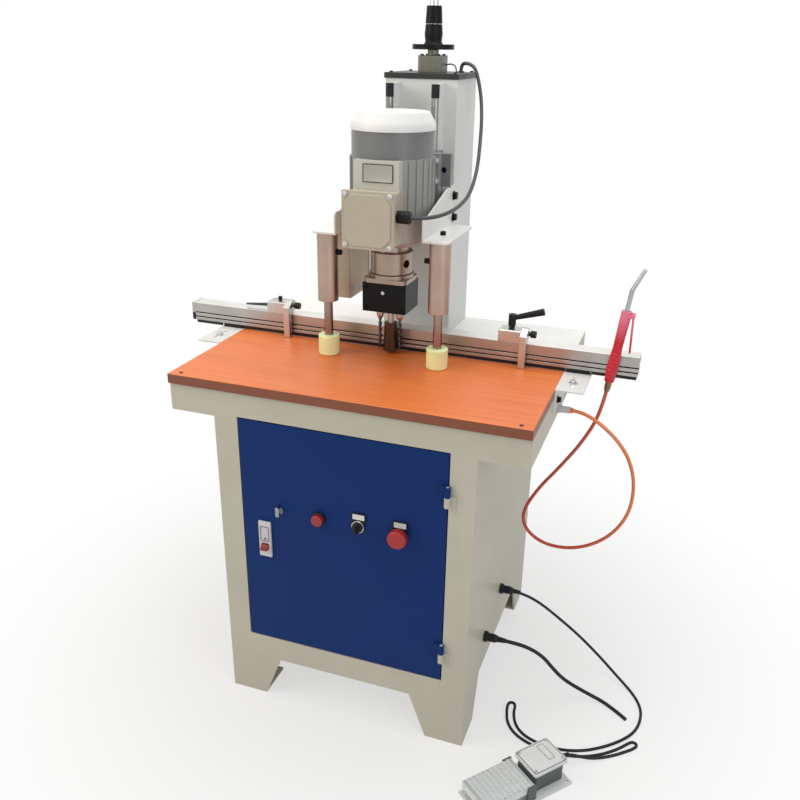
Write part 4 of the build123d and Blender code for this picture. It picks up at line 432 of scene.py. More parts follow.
def pickEdges(test):
    pick("EDGE", lambda edge: test((edge.verts[0].co + edge.verts[1].co) / 2,
                                   edge.verts[1].co - edge.verts[0].co))


slack = 0.01 * mm                # for what lies in a plane
leaning, square = 0.5, 0.9       # how much of a normal lies along an axis


# pulls the picked faces up, or pushes them down, with new walls behind them
def pull(rise):
    bpy.ops.mesh.extrude_region_move(TRANSFORM_OT_translate={"value": (0, 0, rise)})


# all faces outwards
def turnOut():
    bpy.ops.mesh.select_all(action="SELECT")
    bpy.ops.mesh.normals_make_consistent()


# turn that takes a piece modelled with its face up to face another way
def facing(way):
    return Vector(up).rotation_difference(Vector(way)).to_euler()


# copy with its own mesh
def copied(model):
    one = model.copy()
    one.data = model.data.copy()
    bpy.context.scene.collection.objects.link(one)
    return one


def joined(pieces):
    takeUp(pieces[0])
    for piece in pieces:
        piece.select_set(True)
    if len(pieces) > 1:
        bpy.ops.object.join()
    return pieces[0]


# names a piece, fixes its place in its mesh, gives it its finish and hangs it on its body
def settle(piece, name, body, finish, smooth):
    takeUp(piece)
    bpy.ops.object.transform_apply()
    bpy.ops.object.shade_smooth_by_angle(angle=math.radians(smooth))
    piece.name = name
    piece.data.name = name
    piece.data.materials.clear()
    piece.data.materials.append(finish)
    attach(piece, body)


# second finish on the faces of a piece that pass the test
def paint(piece, finish, test):
    piece.data.materials.append(finish)
    piece.active_material_index = len(piece.data.materials) - 1
    edit(piece)
    pickFaces(test)
    bpy.ops.object.material_slot_assign()
    closeUp()


# edges of the solids' copies: sizes in millimetres, angles in degrees
edgeBreak = {"merge": 0.01, "flat": 0.6, "quad": 20, "sharp": 40, "segments": 2, "smooth": 50}
ownNames = {"column": "columnBox", "carriage": "headCarriage", "breaker": "breakerBody",
            "contactor": "controlGear", "table_top": "tableBoard"}


# name of a node's piece: the node's words run together, or a name of its own
def pieceName(node):
    first, *others = node.split("_")
    return ownNames.get(node, first + "".join(word.capitalize() for word in others))


# copy of a CAD node with its doubles merged, flat faces made whole and edges broken
def softened(node, finish, edge):
    piece = copied(nodes[node])
    piece.parent = None
    for key in list(piece.keys()):
        del piece[key]
    takeUp(piece)
    bpy.ops.mesh.customdata_custom_splitnormals_clear()
    edit(piece)
    bpy.ops.mesh.select_all(action="SELECT")
    bpy.ops.mesh.remove_doubles(threshold=edgeBreak["merge"] * mm)
    if edge:
        bpy.ops.mesh.dissolve_limited(angle_limit=math.radians(edgeBreak["flat"]))
    else:     # cones keep even quads
        bpy.ops.mesh.tris_convert_to_quads(face_threshold=math.radians(edgeBreak["quad"]),
                                           shape_threshold=math.pi)
    closeUp()
    bpy.ops.object.shade_smooth_by_angle(angle=math.radians(edgeBreak["sharp"]))
    if edge:
        broken = piece.modifiers.new("edges", "BEVEL")
        broken.width = edge * mm
        broken.segments = edgeBreak["segments"]
        broken.limit_method = "ANGLE"
        broken.angle_limit = math.radians(edgeBreak["sharp"])
        broken.miter_outer = "MITER_ARC"
        bpy.ops.object.modifier_apply(modifier="edges")
    settle(piece, pieceName(node), bodyOf[node], finish, edgeBreak["smooth"])
    if edge:
        flat = piece.modifiers.new("flats", "WEIGHTED_NORMAL")
        flat.keep_sharp = True
        flat.mode = "FACE_AREA_WITH_ANGLE"
        bpy.ops.object.modifier_apply(modifier="flats")
    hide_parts(node)
    return piece


# places that several pieces share, in millimetres
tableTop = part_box("table_top")[1].z / mm
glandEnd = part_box("pedal_cable")[0].x / mm
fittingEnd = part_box("cable_glands")[1].x / mm
mainsGland, pedalGland, hoseFitting = (-154, 191), (-3, 227), (-39, 750)
exitLead, gunLead = 24, 66       # cords are straight so far at their exits and at the gun
pedalTurn = math.radians(50.2)
pedalMiddle = Vector((479.4, -341.8, 0))


# from the pedal's own plane to the frame
def onPedal(x, y, z):
    return pedalMiddle + Matrix.Rotation(pedalTurn, 3, "Z") @ Vector((x, y, z))


def overTable(*points):
    return [(x, y, tableTop + z) for x, y, z in points]


# cords first: the routes are those of the solids, in millimetres; a point with no height lies on the floor
cords = {
    "pedal_cable": {
        "diameter": 7.0, "finish": sheathRubber, "floor": 3.7,
        "farEnd": "object", "stiffness": "medium", "lay": "loose",
        "route": [
            (glandEnd, *pedalGland), (glandEnd + exitLead, *pedalGland), (388, 26, 192), (438, 52, 139),
            (496, 66, 86), (552, 60, 42), (606, 30, 14), (648, -6), (671, -50), (674, -95), (664, -138),
            (637, -176), (598, -212), (556, -239), (508, -253), (460, -251), (420, -237), (395, -210),
            (384, -175), (383, -155), (380.5, -145), (374, -141), (367, -144), (364.5, -154), (367, -175),
            (377, -213), (404, -244), (450, -263), (505, -267), (556, -258), (598, -235), (627, -210),
            (643, -192), (653, -179), (661, -170.5), (669.5, -170.5), (673.6, -178), (668.5, -188),
            (656, -201), (624, -229), (584, -255, 6), (555, -268, 15), onPedal(81, 0, 25), onPedal(57, 0, 25),
        ],
    },
    "mains_lead": {
        "diameter": 9.0, "finish": sheathRubber, "floor": 4.7,
        "farEnd": "bare", "stiffness": "stiff", "lay": "loose",
        "route": [
            (glandEnd, *mainsGland), (glandEnd + exitLead, *mainsGland), (394, -142, 180), (432, -116, 142),
            (456, -99, 100), (484, -83, 60), (536, -58, 17), (594, -66), (640, -103),
        ],
    },
    "air_hose": {
        "diameter": 8.0, "finish": hosePlastic,
        "farEnd": "object", "stiffness": "medium", "lay": "hanging",
        "route": [
            (fittingEnd, *hoseFitting), (fittingEnd + exitLead, *hoseFitting),
            *overTable((490, -36, -88), (531, -32, -122), (562, -27, -164), (581, -21, -220),
                       (583, -16, -289), (565, -12, -347), (527, -9, -398), (470, -7, -433), (408, -6, -440),
                       (362, -5, -422), (338, -5, -389), (340, -5, -349), (371, -6, -287), (413, -7, -227),
                       (460, -7, -151)),
            gunFoot - gunLead * gunAxis, gunFoot,
        ],
    },
    "motor_cable": {
        "diameter": 8.0, "finish": greySheath,
        "farEnd": "object", "stiffness": "medium", "lay": "hanging",
        "route": [
            (80, -126.5, 1155), (104, -126.5, 1155),
            *overTable((137, -84, 338), (150, -10, 345), (152, 66, 361), (148, 131, 403), (141, 172, 453),
                       (133, 208, 501), (122, 237, 547), (110, 252, 584), (99, 259, 611), (83, 264, 621)),
            (62, 269, 1440), (62, 269, 1423),
        ],
    },
}


# draws a cord along its route and measures its middle line
def drawCord(name, cord):
    line = bpy.data.curves.new(name, "CURVE")
    line.dimensions = "3D"
    spline = line.splines.new("NURBS")
    spline.points.add(len(cord["route"]) - 1)
    for point, place in zip(spline.points, cord["route"]):
        x, y, z = place if len(place) == 3 else (*place, cord["floor"])
        point.co = (x * mm, y * mm, z * mm, 1)
    spline.order_u = 3
    spline.use_endpoint_u = True
    line.resolution_u = 10
    piece = bpy.data.objects.new(name, line)
    bpy.context.scene.collection.objects.link(piece)
    bare = bpy.data.meshes.new_from_object(piece)
    middleLine = [vertex.co.copy() for vertex in bare.vertices]
    bpy.data.meshes.remove(bare)
    line.bevel_depth = cord["diameter"] / 2 * mm
    line.bevel_resolution = cord.get("roundness", 5)
    line.use_fill_caps = True
    line.materials.append(cord["finish"])
    length = sum((b - a).length for a, b in zip(middleLine, middleLine[1:]))
    cord.update(piece=piece, line=middleLine, length=length, path=None)
    print(name, "runs", round(length / mm), "mm")
    return piece


for node, cord in cords.items():
    piece = drawCord(pieceName(node), cord)
    if node == "motor_cable":     # made a mesh; its middle line kept as its path
        takeUp(piece)
        bpy.ops.object.convert(target="MESH")
        piece = bpy.context.object
        bpy.ops.object.shade_smooth()
        path = cord["line"]
        cord.update(piece=piece, path=path)
        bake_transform(piece)
    else:
        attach(piece, "frame")
    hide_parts(node)

# sheet metal, castings, bars and mouldings that keep their solids' shapes: finish and width of edge
keptShapes = {
    "front_frame": (creamCoat, 0.9), "side_panels": (creamCoat, 0.9), "back_and_floor": (creamCoat, 0.9),
    "corner_feet": (creamCoat, 1.4), "top_frame": (creamCoat, 0.9), "door_panel": (blueCoat, 0.8),
    "column": (paleCoat, 1.2), "column_cap": (blackEnamel, 1.0), "guide_posts": (darkReflectionSteel, 0.6),
    "lift_cylinder": (capAluminium, 1.0), "clamp_brackets": (bracketCoat, 0.8),
    "clamp_cylinders": (reflectionTintAluminium, 0.8), "left_clamp_rod": (rodSteel, 0.6),
    "right_clamp_rod": (rodSteel, 0.6), "left_pad": (nylon, 1.0), "right_pad": (nylon, 1.0),
    "valve_box": (valveEnamel, 0.8), "fence_rail": (aluminium, 0.4), "fence_brackets": (zincPrimer, 0.6),
    "left_stop_block": (aluminium, 0.6), "right_stop_block": (aluminium, 0.6),
    "left_stop_arm": (aluminium, 0.6), "right_stop_arm": (aluminium, 0.6),
    "left_stop_knob": (blackPlastic, 0.6), "right_stop_lever": (blackPlastic, 0.8),
    "carriage": (carriageEnamel, 1.2), "lift_rod": (groundSteel, 0.6), "stop_nuts": (blackOxide, 0.8),
    "motor_housing": (motorEnamel, 0.6), "end_shield": (shieldEnamel, 0.8), "fan_cover": (canopyHighlightEnamel, 0),
    "terminal_box": (neckEnamel, 0.8), "terminal_lid": (terminalEnamel, 0.8),
    "motor_collar": (reflectionTintSteel, 0), "gearbox_cover": (reflectionTintSteel, 0.8),
    "gearbox_case": (blackOxide, 0.6), "rotor_shaft": (reflectionTintSteel, 0.5),
    "centre_spindle": (spindleSteel, 0.3), "cup_bit": (bitSteel, 0.2), "left_spindle": (spindleSteel, 0.3),
    "right_spindle": (spindleSteel, 0.3), "control_bezels": (blackPlastic, 0.6),
    "pilot_lamp": (lensPlastic, 0.5), "selector_knob": (blackPlastic, 0.6), "stop_button": (redPlastic, 0.5),
    "breaker": (whitePlastic, 0.8), "breaker_toggle": (rockerPlastic, 0.8), "lock_wing": (greenReflectionNickel, 0.8),
    "contactor": (blackPlastic, 1.0), "cable_glands": (blackPlastic, 0.6),
    "pedal_housing": (alloySpray, 1.0), "pedal_treadle": (alloySpray, 0.5), "gun_body": (gunPlastic, 1.0),
    "gun_nozzle": (tubeChrome, 0.4), "gun_lever": (gunPlastic, 0.8), "table_top": (laminateTop, 0.4),
}
made = {node: softened(node, finish, edge) for node, (finish, edge) in keptShapes.items()}
print("kept shapes:", len(made))

# second finishes: faces chosen by their place in millimetres or by the way that they face
secondFinishes = {
    "edge of the table": ("table_top", edgeBand, lambda at, way: way.z < leaning),
    # painted shade: the cowl gets a darker copy of the canopy's paint
    "cowl under the canopy": ("fan_cover", cowlShadeEnamel, lambda at, way: at.z < 1315.5),
    # painted shade: the front of the valve box gets the darker beige
    "front of the valves": ("valve_box", valveShadeEnamel, lambda at, way: way.y < -leaning),
    "terminal box under its neck": ("terminal_box", terminalEnamel, lambda at, way: at.z < 1203.5),
    "gland of the terminal box": ("terminal_box", blackPlastic, lambda at, way: at.x > 52.5),
    "heads of the posts": ("guide_posts", blackPlastic, lambda at, way: at.z > 1371.5),
    "foot of the gun": ("gun_body", agedBrass, lambda at, way: (at - gunFoot).dot(gunAxis) < 12.1),
    "grip of the left stop": ("left_stop_block", gripPlastic, lambda at, way: at.x < -330.3),
    "knob of the left arm": ("left_stop_arm", blackPlastic, lambda at, way: at.x > -262.2),
    "knob of the right arm": ("right_stop_arm", blackPlastic, lambda at, way: at.x > 314.3),
    "plate of the control gear": ("contactor", zincPlate, lambda at, way: at.y > 311.2),
    # painted highlight: the upward faces of the top frame get the paler cream
    "deck": ("top_frame", deckHighlightCoat, lambda at, way: way.z > leaning and at.z > 810),
    # painted highlight on the top of the fence and painted shade on its front
    "top of the fence": ("fence_rail", litTopAluminium, lambda at, way: way.z > square),
    "front of the fence": ("fence_rail", shadedFrontAluminium, lambda at, way: way.y < -square),
    # painted shade: the faces in the slots of the fence are darkened
    "slots of the fence": ("fence_rail", slotShadeAluminium, lambda at, way: 8.5 < at.y < 14.5 and at.z < 851),
    "hose fitting": ("cable_glands", whitePlastic, lambda at, way: at.z > 700),
    # painted shade: the spacers black, in the gap under the fence
    "spacers of the fence": ("fence_brackets", blackPlastic, lambda at, way: at.z > 819.6),
    # painted shade: the treadle's plate between the ribs is darkened
    "gaps of the treadle": ("pedal_treadle", gapShadeSpray, lambda at, way: way.z > square and 41.5 < at.z < 42.3),
    # partly painted shade: the pedal's sides under its lid get the dark grey
    "pedal under its lid": ("pedal_housing", sideShadeSpray, lambda at, way: 6 < at.z < 51.5),
}
for node, finish, test in secondFinishes.values():
    paint(made[node], finish, lambda at, way: test(at / mm, way))
print("second finishes:", len(secondFinishes))

# groove round the lid of the pedal, its bottom in the dark grey of the sides: painted shade
groove = {"inset": 2.0, "width": 2.0, "depth": 1.2, "lidLevel": 59.5, "flat": 0.99}
pedalCopy = made["pedal_housing"]
edit(pedalCopy)
pickFaces(lambda at, way: way.z > groove["flat"] and at.z > groove["lidLevel"] * mm)
for wall, rise, finishIndex in (("inset", -1, 1), ("width", 1, 0)):
    bpy.ops.mesh.inset(thickness=groove[wall] * mm)
    pull(rise * groove["depth"] * mm)
    pedalCopy.active_material_index = finishIndex
    bpy.ops.object.material_slot_assign()
closeUp()

# screws and bolts: each kind is modelled once, head up, seat at the origin
hexagon, circle = 6, 40
fastenerKinds = {
    "hexBolt": {"sides": hexagon, "width": 17.0, "height": 7.0, "edge": 1.2, "washer": 21.0, "under": 2.0},
    "footBolt": {"sides": hexagon, "width": 13.0, "height": 6.0, "edge": 1.0, "washer": 18.0, "under": 2.2},
    "capScrew": {"sides": circle, "width": 12.4, "height": 8.0, "edge": 0.8, "socket": 6.6, "depth": 4.0},
    "smallCap": {"sides": circle, "width": 8.0, "height": 3.0, "edge": 0.5, "socket": 4.2, "depth": 2.0},
    "panScrew": {"sides": circle, "width": 8.4, "height": 2.8, "edge": 1.3, "cross": 5.2, "depth": 1.6},
    "lidScrew": {"sides": circle, "width": 9.6, "height": 4.2, "edge": 1.4, "cross": 6.4, "depth": 2.2},
}
washerEdge = 0.3
fasteners = {}
for kindName, look in fastenerKinds.items():
    seat = look.get("under", 0) * mm
    high = look["height"] * mm
    top = seat + high
    head = openRound(look["sides"], look["width"] * mm, high, seat)
    pickEdges(lambda at, run: at.z > top - slack and abs(run.z) < slack)
    bpy.ops.mesh.bevel(offset=look["edge"] * mm, segments=3)
    closeUp()
    cutter = None
    cutterFoot = top - look.get("depth", 0) * mm
    if "socket" in look:
        cutter = openRound(hexagon, look["socket"] * mm, high, cutterFoot)
        closeUp()
    if "cross" in look:      # a cross five slots wide
        slot = look["cross"] / 5 * mm
        cutter = openBlock((slot, slot, high), (0, 0, cutterFoot + high / 2))
        pickFaces(lambda at, way: abs(way.z) < leaning)
        bpy.ops.mesh.extrude_faces_move(TRANSFORM_OT_shrink_fatten={"value": 2 * slot})
        closeUp()
    if cutter:
        takeUp(head)
        drive = head.modifiers.new("drive", "BOOLEAN")
        drive.object = cutter
        bpy.ops.object.modifier_apply(modifier="drive")
        bpy.data.objects.remove(cutter, do_unlink=True)
    if seat:
        washer = openRound(circle, look["washer"] * mm, seat)
        pickEdges(lambda at, run: abs(run.z) < slack)
        bpy.ops.mesh.bevel(offset=washerEdge * mm, segments=2)
        closeUp()
        joined([head, washer])
    fasteners[kindName] = head

# where they go: each place along x with each along y and z; with no way given they point outwards
onHead = {"body": "head", "way": front}
fixings = {
    "tableScrews": {"kind": "panScrew", "finish": drillSteel, "way": up,
                    "at": ((-374, 374), [-310], [tableTop - 1.2])},
    "bracketBolts": {"kind": "hexBolt", "finish": blackOxide, "at": ((-101, 101), [112], (1118, 1166))},
    "shelfBolts": {"kind": "capScrew", "finish": blackOxide, "way": up, "at": ((-121, 121), [-27], [1105])},
    "motorFootBolts": {**onHead, "kind": "footBolt", "finish": zincPlate,
                       "at": ((-73, 73), [57.5], (1203, 1247))},
    "mountScrews": {**onHead, "kind": "capScrew", "finish": blackOxide, "at": ((-86, 86), [90], [1225])},
    "gearboxScrews": {**onHead, "kind": "smallCap", "finish": blackOxide,
                      "at": ((-42, 42), [-63.2], (937, 984))},
    "gearboxPlug": {**onHead, "kind": "smallCap", "finish": zincPlate, "at": ([-1.5], [-63.6], [973])},
    "lidScrews": {**onHead, "kind": "lidScrew", "finish": zincPlate, "at": ((-49, 49), [-161], (1097, 1200))},
    "liftCapScrews": {"kind": "smallCap", "finish": blackOxide, "way": up,
                      "at": ((-20, 20), (227, 267), [1456])},
    "columnCapScrews": {"kind": "smallCap", "finish": blackOxide, "way": up,
                        "at": ((-76, 76), (176, 312), [1420])},
    "valveScrews": {"kind": "panScrew", "finish": zincPlate, "way": right,
                    "at": ([-103], (8, 95), (955, 1081))},
    "fenceBolts": {"kind": "footBolt", "finish": zincPlate, "way": up,
                   "at": ((-430, 430), [-56], [tableTop])},
    "apronBolts": {"kind": "footBolt", "finish": blackOxide, "at": ((-403, 403), (-75, 20), [786])},
    "backScrews": {"kind": "panScrew", "finish": zincPlate, "way": back,
                   "at": ((-284, 284), [317], (140, 330, 520, 710))},
    "pedalScrews": {"kind": "smallCap", "finish": zincPlate, "way": up, "plane": onPedal,
                    "at": ((-37, 37), (-29.5, 29.5), [59])},
}
screwTurn = {"first": 0.4, "step": 1.3}      # radians, no two stop at the same turn
for fixingName, fixing in fixings.items():
    copies = []
    for index, (x, y, z) in enumerate(itertools.product(*fixing["at"])):
        one = copied(fasteners[fixing["kind"]])
        one.location = (fixing["plane"](x, y, z) if "plane" in fixing else Vector((x, y, z))) * mm
        spun = Matrix.Rotation(screwTurn["first"] + screwTurn["step"] * index, 3, "Z")
        way = fixing.get("way", left if x < 0 else right)
        one.rotation_euler = (facing(way).to_matrix() @ spun).to_euler()
        copies.append(one)
    settle(joined(copies), fixingName, fixing.get("body", "frame"), fixing["finish"], smooth=40)
for head in fasteners.values():
    bpy.data.objects.remove(head, do_unlink=True)
print("fixings:", len(fixings))

# thin plates: cut to size, corners rounded, a raised rim left round a lowered field; most on the door
holder = {"finish": blackPlastic, "size": (33, 22, 3.0), "corner": 3.0, "rim": 2.4, "sink": 0.8}
legend = {"finish": legendPlastic, "size": (27, 12, 1.4), "corner": 0.8, "rim": 0.6, "sink": 0.2}
plates = {
    "ratingPlate": {"body": "head", "finish": gripPlastic, "middle": (4.5, -114.3, 1237),
                    "size": (66, 37, 1.6), "corner": 2.0, "rim": 1.6, "sink": 0.6, "field": plateAluminium},
    "selectorHolder": {**holder, "middle": (43, -317, 551)},
    "selectorLegend": {**legend, "middle": (43, -319.2, 553)},
    "stopHolder": {**holder, "middle": (137, -317, 551)},
    "stopLegend": {**legend, "middle": (137, -319.2, 553)},
    "breakerWindow": {"finish": framePlastic, "middle": (-184, -322, 463), "size": (21, 37, 1.2),
                      "corner": 1.0, "rim": 1.3, "sink": 0.9, "field": whitePlastic},
    "pedalPlate": {"body": "frame", "finish": framePlastic, "middle": onPedal(16, 5, 59.5),
                   "size": (17, 44, 1.0), "way": up, "corner": 1.2, "rim": 1.1, "sink": 0.2,
                   "field": legendPlastic},
}
plateEdge = {"width": 0.15, "segments": 2}
fieldReach = 3.0      # the field's middle lies within this of the plate's
for plateName, look in plates.items():
    wide, tall, thick = [side * mm for side in look["size"]]
    plate = openBlock((wide, tall, thick), (0, 0, thick / 2))
    pickEdges(lambda at, run: abs(run.z) > thick / 2)
    bpy.ops.mesh.bevel(offset=look["corner"] * mm, segments=5)
    pickFaces(lambda at, way: way.z > square)
    bpy.ops.mesh.inset(thickness=look["rim"] * mm)
    pull(-look["sink"] * mm)
    closeUp()
    soft = plate.modifiers.new("edges", "BEVEL")
    soft.width = plateEdge["width"] * mm
    soft.segments = plateEdge["segments"]
    bpy.ops.object.modifier_apply(modifier="edges")
    faced = look.get("way", front)
    plate.rotation_euler = (math.radians(90), 0, 0) if faced == front else (0, 0, pedalTurn)
    centre = Vector(look["middle"]) * mm
    plate.location = centre
    settle(plate, plateName, look.get("body", "door"), look["finish"], smooth=30)
    if "field" in look:
        paint(plate, look["field"], lambda at, way: way.dot(Vector(faced)) > square
              and (at - centre).length < fieldReach * mm)
print("plates:", len(plates))

# turned pieces: radius and height along the axis, in millimetres
reliefRings = [(7.6, 7), (6.6, 7.6), (6.4, 9.4), (7.2, 10), (7.0, 12.4), (6.1, 13), (5.9, 14.8), (6.6, 15.4),
               (6.4, 17.8), (5.5, 18.4), (5.3, 20), (5.9, 20.6), (5.6, 24), (5.1, 25)]
reliefSunk, collarSunk = 0.2, 0.3


# the same rings for a thinner cable
def slimmer(less):
    return [(radius - less, height) for radius, height in reliefRings]


airFitting = {"finish": blackOxide,
              "profile": [(6.5, 0), (6.5, 4), (5.0, 4.6), (5.0, 6), (6.0, 6.6), (6.0, 11), (4.6, 12)]}
onDoor = {"body": "door", "way": front}
turnedPieces = {
    "mainsRelief": {"finish": sheathRubber, "foot": (glandEnd - reliefSunk, *mainsGland), "way": right,
                    "profile": [(9.2, 0), (9.0, 3), (8.2, 4.5)] + reliefRings},
    "pedalRelief": {"finish": sheathRubber, "foot": (glandEnd - reliefSunk, *pedalGland), "way": right,
                    "profile": [(8.6, 0), (8.4, 3), (7.6, 4.5)] + slimmer(1.0)},
    "pedalBoxRelief": {"finish": sheathRubber, "foot": onPedal(56.8, 0, 25),
                       "way": onPedal(1, 0, 0) - pedalMiddle,
                       "profile": [(8.4, 0), (8.2, 3), (7.4, 4.5)] + slimmer(1.1)},
    "gunHoseNut": {
        "finish": agedBrass, "foot": gunFoot, "way": -gunAxis,
        "profile": [(6.6, -0.5), (6.8, 0.5), (6.8, 6.5), (6.2, 7), (5.6, 7.2), (5.6, 11), (5.2, 12)]},
    "fittingCollar": {
        "finish": hosePlastic, "foot": (fittingEnd - collarSunk, *hoseFitting), "way": right,
        "profile": [(6.6, 0), (6.6, 2), (5.4, 2.4), (5.4, 4), (6.2, 4.6), (6.2, 6.6), (5.4, 7.2)]},
    "selectorRing": {**onDoor, "finish": zincPlate, "foot": (42, -321, 530),
                     "profile": [(14.6, 0), (14.6, 1.8), (14.0, 2.6), (12.6, 2.6), (12.1, 2.0), (12.1, 0.2)]},
    "lampRing": {**onDoor, "finish": blackPlastic, "foot": (-50, -321, 530),
                 "profile": [(15.0, 0), (15.0, 2.2), (14.4, 2.8), (13.9, 2.8)]},
    "breakerLight": {**onDoor, "finish": amberPlastic, "foot": (-183, -322.9, 451),
                     "profile": [(2.6, 0), (2.6, 0.6), (2.0, 1.1), (1.0, 1.4)]},
    "leftAirFitting": {**airFitting, "foot": (-107.8, -72, 1057), "way": right},
    "rightAirFitting": {**airFitting, "foot": (107.8, -72, 1057), "way": left},
}
ringSides = 48


# a cone drawn up ring by ring along its profile, foot at the origin
def turned(profile):
    (rootRadius, rootHeight), (radius, height) = profile[:2]
    deselect()
    bpy.ops.mesh.primitive_cone_add(vertices=ringSides, radius1=rootRadius * mm, radius2=radius * mm,
                                    depth=(height - rootHeight) * mm,
                                    location=(0, 0, (rootHeight + height) / 2 * mm))
    piece = openUp()
    pickFaces(lambda at, way: way.z > square and at.z > height * mm - slack)
    for nextRadius, nextHeight in profile[2:]:
        pull((nextHeight - height) * mm)
        spread = nextRadius / radius
        bpy.ops.transform.resize(value=(spread, spread, 1), center_override=(0, 0, nextHeight * mm))
        radius, height = nextRadius, nextHeight
    turnOut()
    closeUp()
    return piece


for turnedName, look in turnedPieces.items():
    piece = turned(look["profile"])
    piece.rotation_euler = facing(look["way"])
    piece.location = Vector(look["foot"]) * mm
    settle(piece, turnedName, look.get("body", "frame"), look["finish"], smooth=45)
print("turned pieces:", len(turnedPieces))

# raised rings on the grip of the gun, each seated on the handle's slope there: height and radius
grip = {"heights": (22, 31, 40, 49, 58, 67, 76), "proud": 0.9, "half": 2.0, "shoulder": 0.3, "sunk": 0.6,
        "belly": (44.0, 12.5), "heel": (12.0, 10.5), "waist": (92.0, 10.0)}
bellyHeight, bellyRadius = grip["belly"]
half = grip["half"]
rings = []
for height in grip["heights"]:
    endHeight, endRadius = grip["heel"] if height < bellyHeight else grip["waist"]
    share = abs(height - bellyHeight) / abs(endHeight - bellyHeight)
    seatRadius = bellyRadius + share * (endRadius - bellyRadius)
    crown, root = seatRadius + grip["proud"], seatRadius - grip["sunk"]
    shoulder = crown - grip["shoulder"]
    ring = turned([(root, -half), (shoulder, -half / 2), (crown, 0), (shoulder, half / 2), (root, half)])
    ring.rotation_euler = facing(gunAxis)
    ring.location = (gunFoot + gunAxis * height) * mm
    rings.append(ring)
settle(joined(rings), "gripRings", bodyOf["gun_body"], gunPlastic, smooth=60)

# black strip that hangs under the fence between the spacers of its brackets, clear of the table: the dark
# band there, partly a black strip and partly painted shade in the gap under the fence
fenceLow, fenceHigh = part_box("fence_rail")
fenceMiddle = (fenceLow + fenceHigh) / 2
strip = {"back": 2.0, "thick": 4.0, "clear": 1.5, "edge": 0.8,
         "spans": [(-533, -460), (-400, 400), (460, 555)]}
stripLow, stripHigh = tableTop + strip["clear"], fenceLow.z / mm
stripMiddle = fenceLow.y / mm + strip["back"] + strip["thick"] / 2
strips = []
for first, last in strip["spans"]:
    strips.append(openBlock(Vector((last - first, strip["thick"], stripHigh - stripLow)) * mm,
                            Vector(((first + last) / 2, stripMiddle, (stripLow + stripHigh) / 2)) * mm))
    pickEdges(lambda at, run: at.z < stripLow * mm + slack)
    bpy.ops.mesh.bevel(offset=strip["edge"] * mm, segments=3)
    closeUp()
settle(joined(strips), "fenceStripAndShade", "frame", sheathRubber, smooth=40)

# cap on the left end of the fence, rounded outside, black over the slots
endCap = {"long": 11.0, "corner": 5.0, "blackTop": 846.5}
capEnd = fenceLow.x - endCap["long"] * mm
cap = openBlock((endCap["long"] * mm, fenceHigh.y - fenceLow.y, fenceHigh.z - fenceLow.z),
                ((capEnd + fenceLow.x) / 2, fenceMiddle.y, fenceMiddle.z))
pickEdges(lambda at, run: at.x < capEnd + slack)
bpy.ops.mesh.bevel(offset=endCap["corner"] * mm, segments=5)
bpy.ops.mesh.select_all(action="SELECT")
bpy.ops.mesh.bisect(plane_co=(0, 0, endCap["blackTop"] * mm), plane_no=up)
closeUp()
settle(cap, "fenceEndCap", "frame", capPlastic, smooth=40)
paint(cap, blackPlastic, lambda at, way: at.z < endCap["blackTop"] * mm)
print("rings, strip and end cap made")

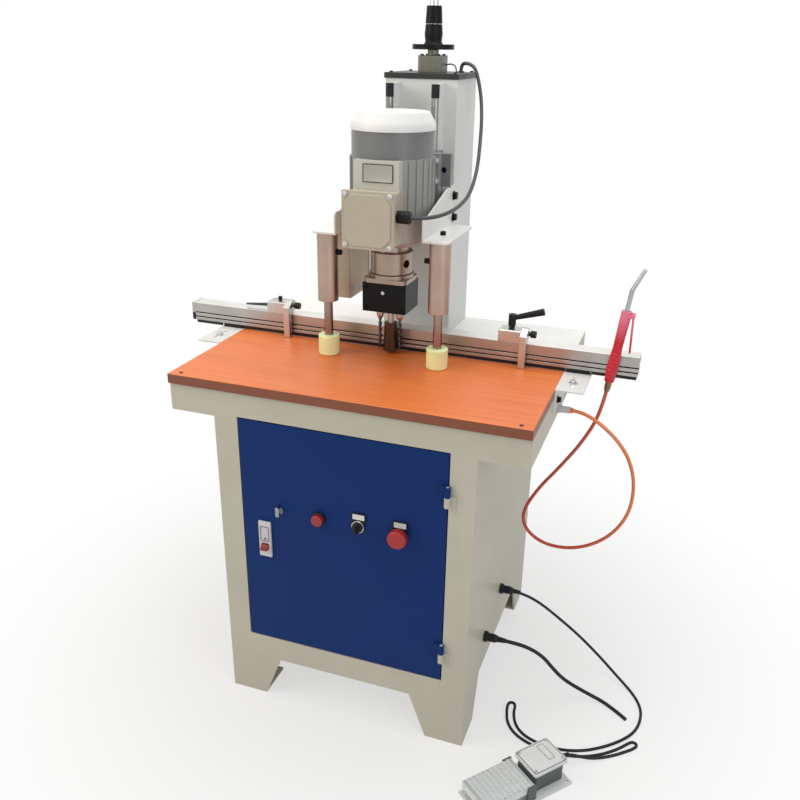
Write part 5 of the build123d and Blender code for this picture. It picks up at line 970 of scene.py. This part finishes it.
# fine ribs on the treadle, two in each gap of its main ribs
rib = {"middle": -114.0, "pitch": 12.0, "gaps": 9, "wide": 1.7, "long": 78.0, "high": 1.2, "top": 42.9,
       "edge": 0.4}
ribSize = Vector((rib["wide"], rib["long"], rib["high"])) * mm
ribModel = openBlock(ribSize)
pickEdges(lambda at, run: at.z > ribSize.z / 2 - slack)
bpy.ops.mesh.bevel(offset=rib["edge"] * mm, segments=2)
closeUp()
ribs = []
for gap in range(rib["gaps"]):
    for third in (1 / 3, 2 / 3):
        along = rib["middle"] + (gap + third - rib["gaps"] / 2) * rib["pitch"]
        one = copied(ribModel)
        one.location = onPedal(along, 0, rib["top"] - rib["high"] / 2) * mm
        one.rotation_euler = (0, 0, pedalTurn)
        ribs.append(one)
bpy.data.objects.remove(ribModel, do_unlink=True)
settle(joined(ribs), "treadleRibs", bodyOf["pedal_treadle"], alloySpray, smooth=40)
print("treadle ribs:", len(ribs))

# twist drills: a two-lobed section drawn up and turned step by step, with a cone at its tip
drill = {"radius": 4.0, "lobe": 0.62, "web": 0.42, "point": 3.0, "tip": 0.12, "length": 71.0, "steps": 44,
         "turns": 2.4, "sides": 28, "chuckEnd": 899.5, "side": 24, "front": -20.5, "foot": 829.7}
drillModel = openRound(drill["sides"], 2 * drill["radius"] * mm, drill["point"] * mm)
pick("VERT", lambda corner: abs(corner.co.y) > drill["lobe"] * drill["radius"] * mm)
bpy.ops.transform.resize(value=(1, drill["web"], 1), center_override=(0, 0, 0))
pickFaces(lambda at, way: way.z < -square)
bpy.ops.transform.resize(value=(drill["tip"], drill["tip"], 1), center_override=(0, 0, 0))
pickFaces(lambda at, way: way.z > square and at.z > drill["point"] * mm - slack)
climb = (drill["length"] - drill["point"]) / drill["steps"] * mm
for step in range(drill["steps"]):
    pull(climb)
    bpy.ops.transform.rotate(value=math.tau * drill["turns"] / drill["steps"], orient_axis="Z",
                             center_override=(0, 0, drill["point"] * mm + (step + 1) * climb))
turnOut()
closeUp()
for sideName, side in (("left", -1), ("right", 1)):
    piece = copied(drillModel)
    piece.location = Vector((side * drill["side"], drill["front"], drill["foot"])) * mm
    spindle = sideName + "_spindle"
    settle(piece, sideName + "Drill", spindle, drillSteel, smooth=50)
    edit(made[spindle])      # the plain drill of the solid makes room
    bpy.ops.mesh.select_all(action="SELECT")
    bpy.ops.mesh.bisect(plane_co=(0, 0, drill["chuckEnd"] * mm), plane_no=up, clear_inner=True, use_fill=True)
    closeUp()
bpy.data.objects.remove(drillModel, do_unlink=True)
print("drills twisted")

# short wire from the lift cylinder to the column cap
capWire = {"diameter": 3.0, "roundness": 4, "finish": greySheath, "farEnd": "object", "stiffness": "stiff",
           "lay": "hanging",
           "route": [(27.5, 263, 1436), (36, 263, 1438), (46, 261, 1437), (53, 259, 1431), (54, 258, 1419.8)]}
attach(drawCord("capWire", capWire), "frame")

print("scene done")
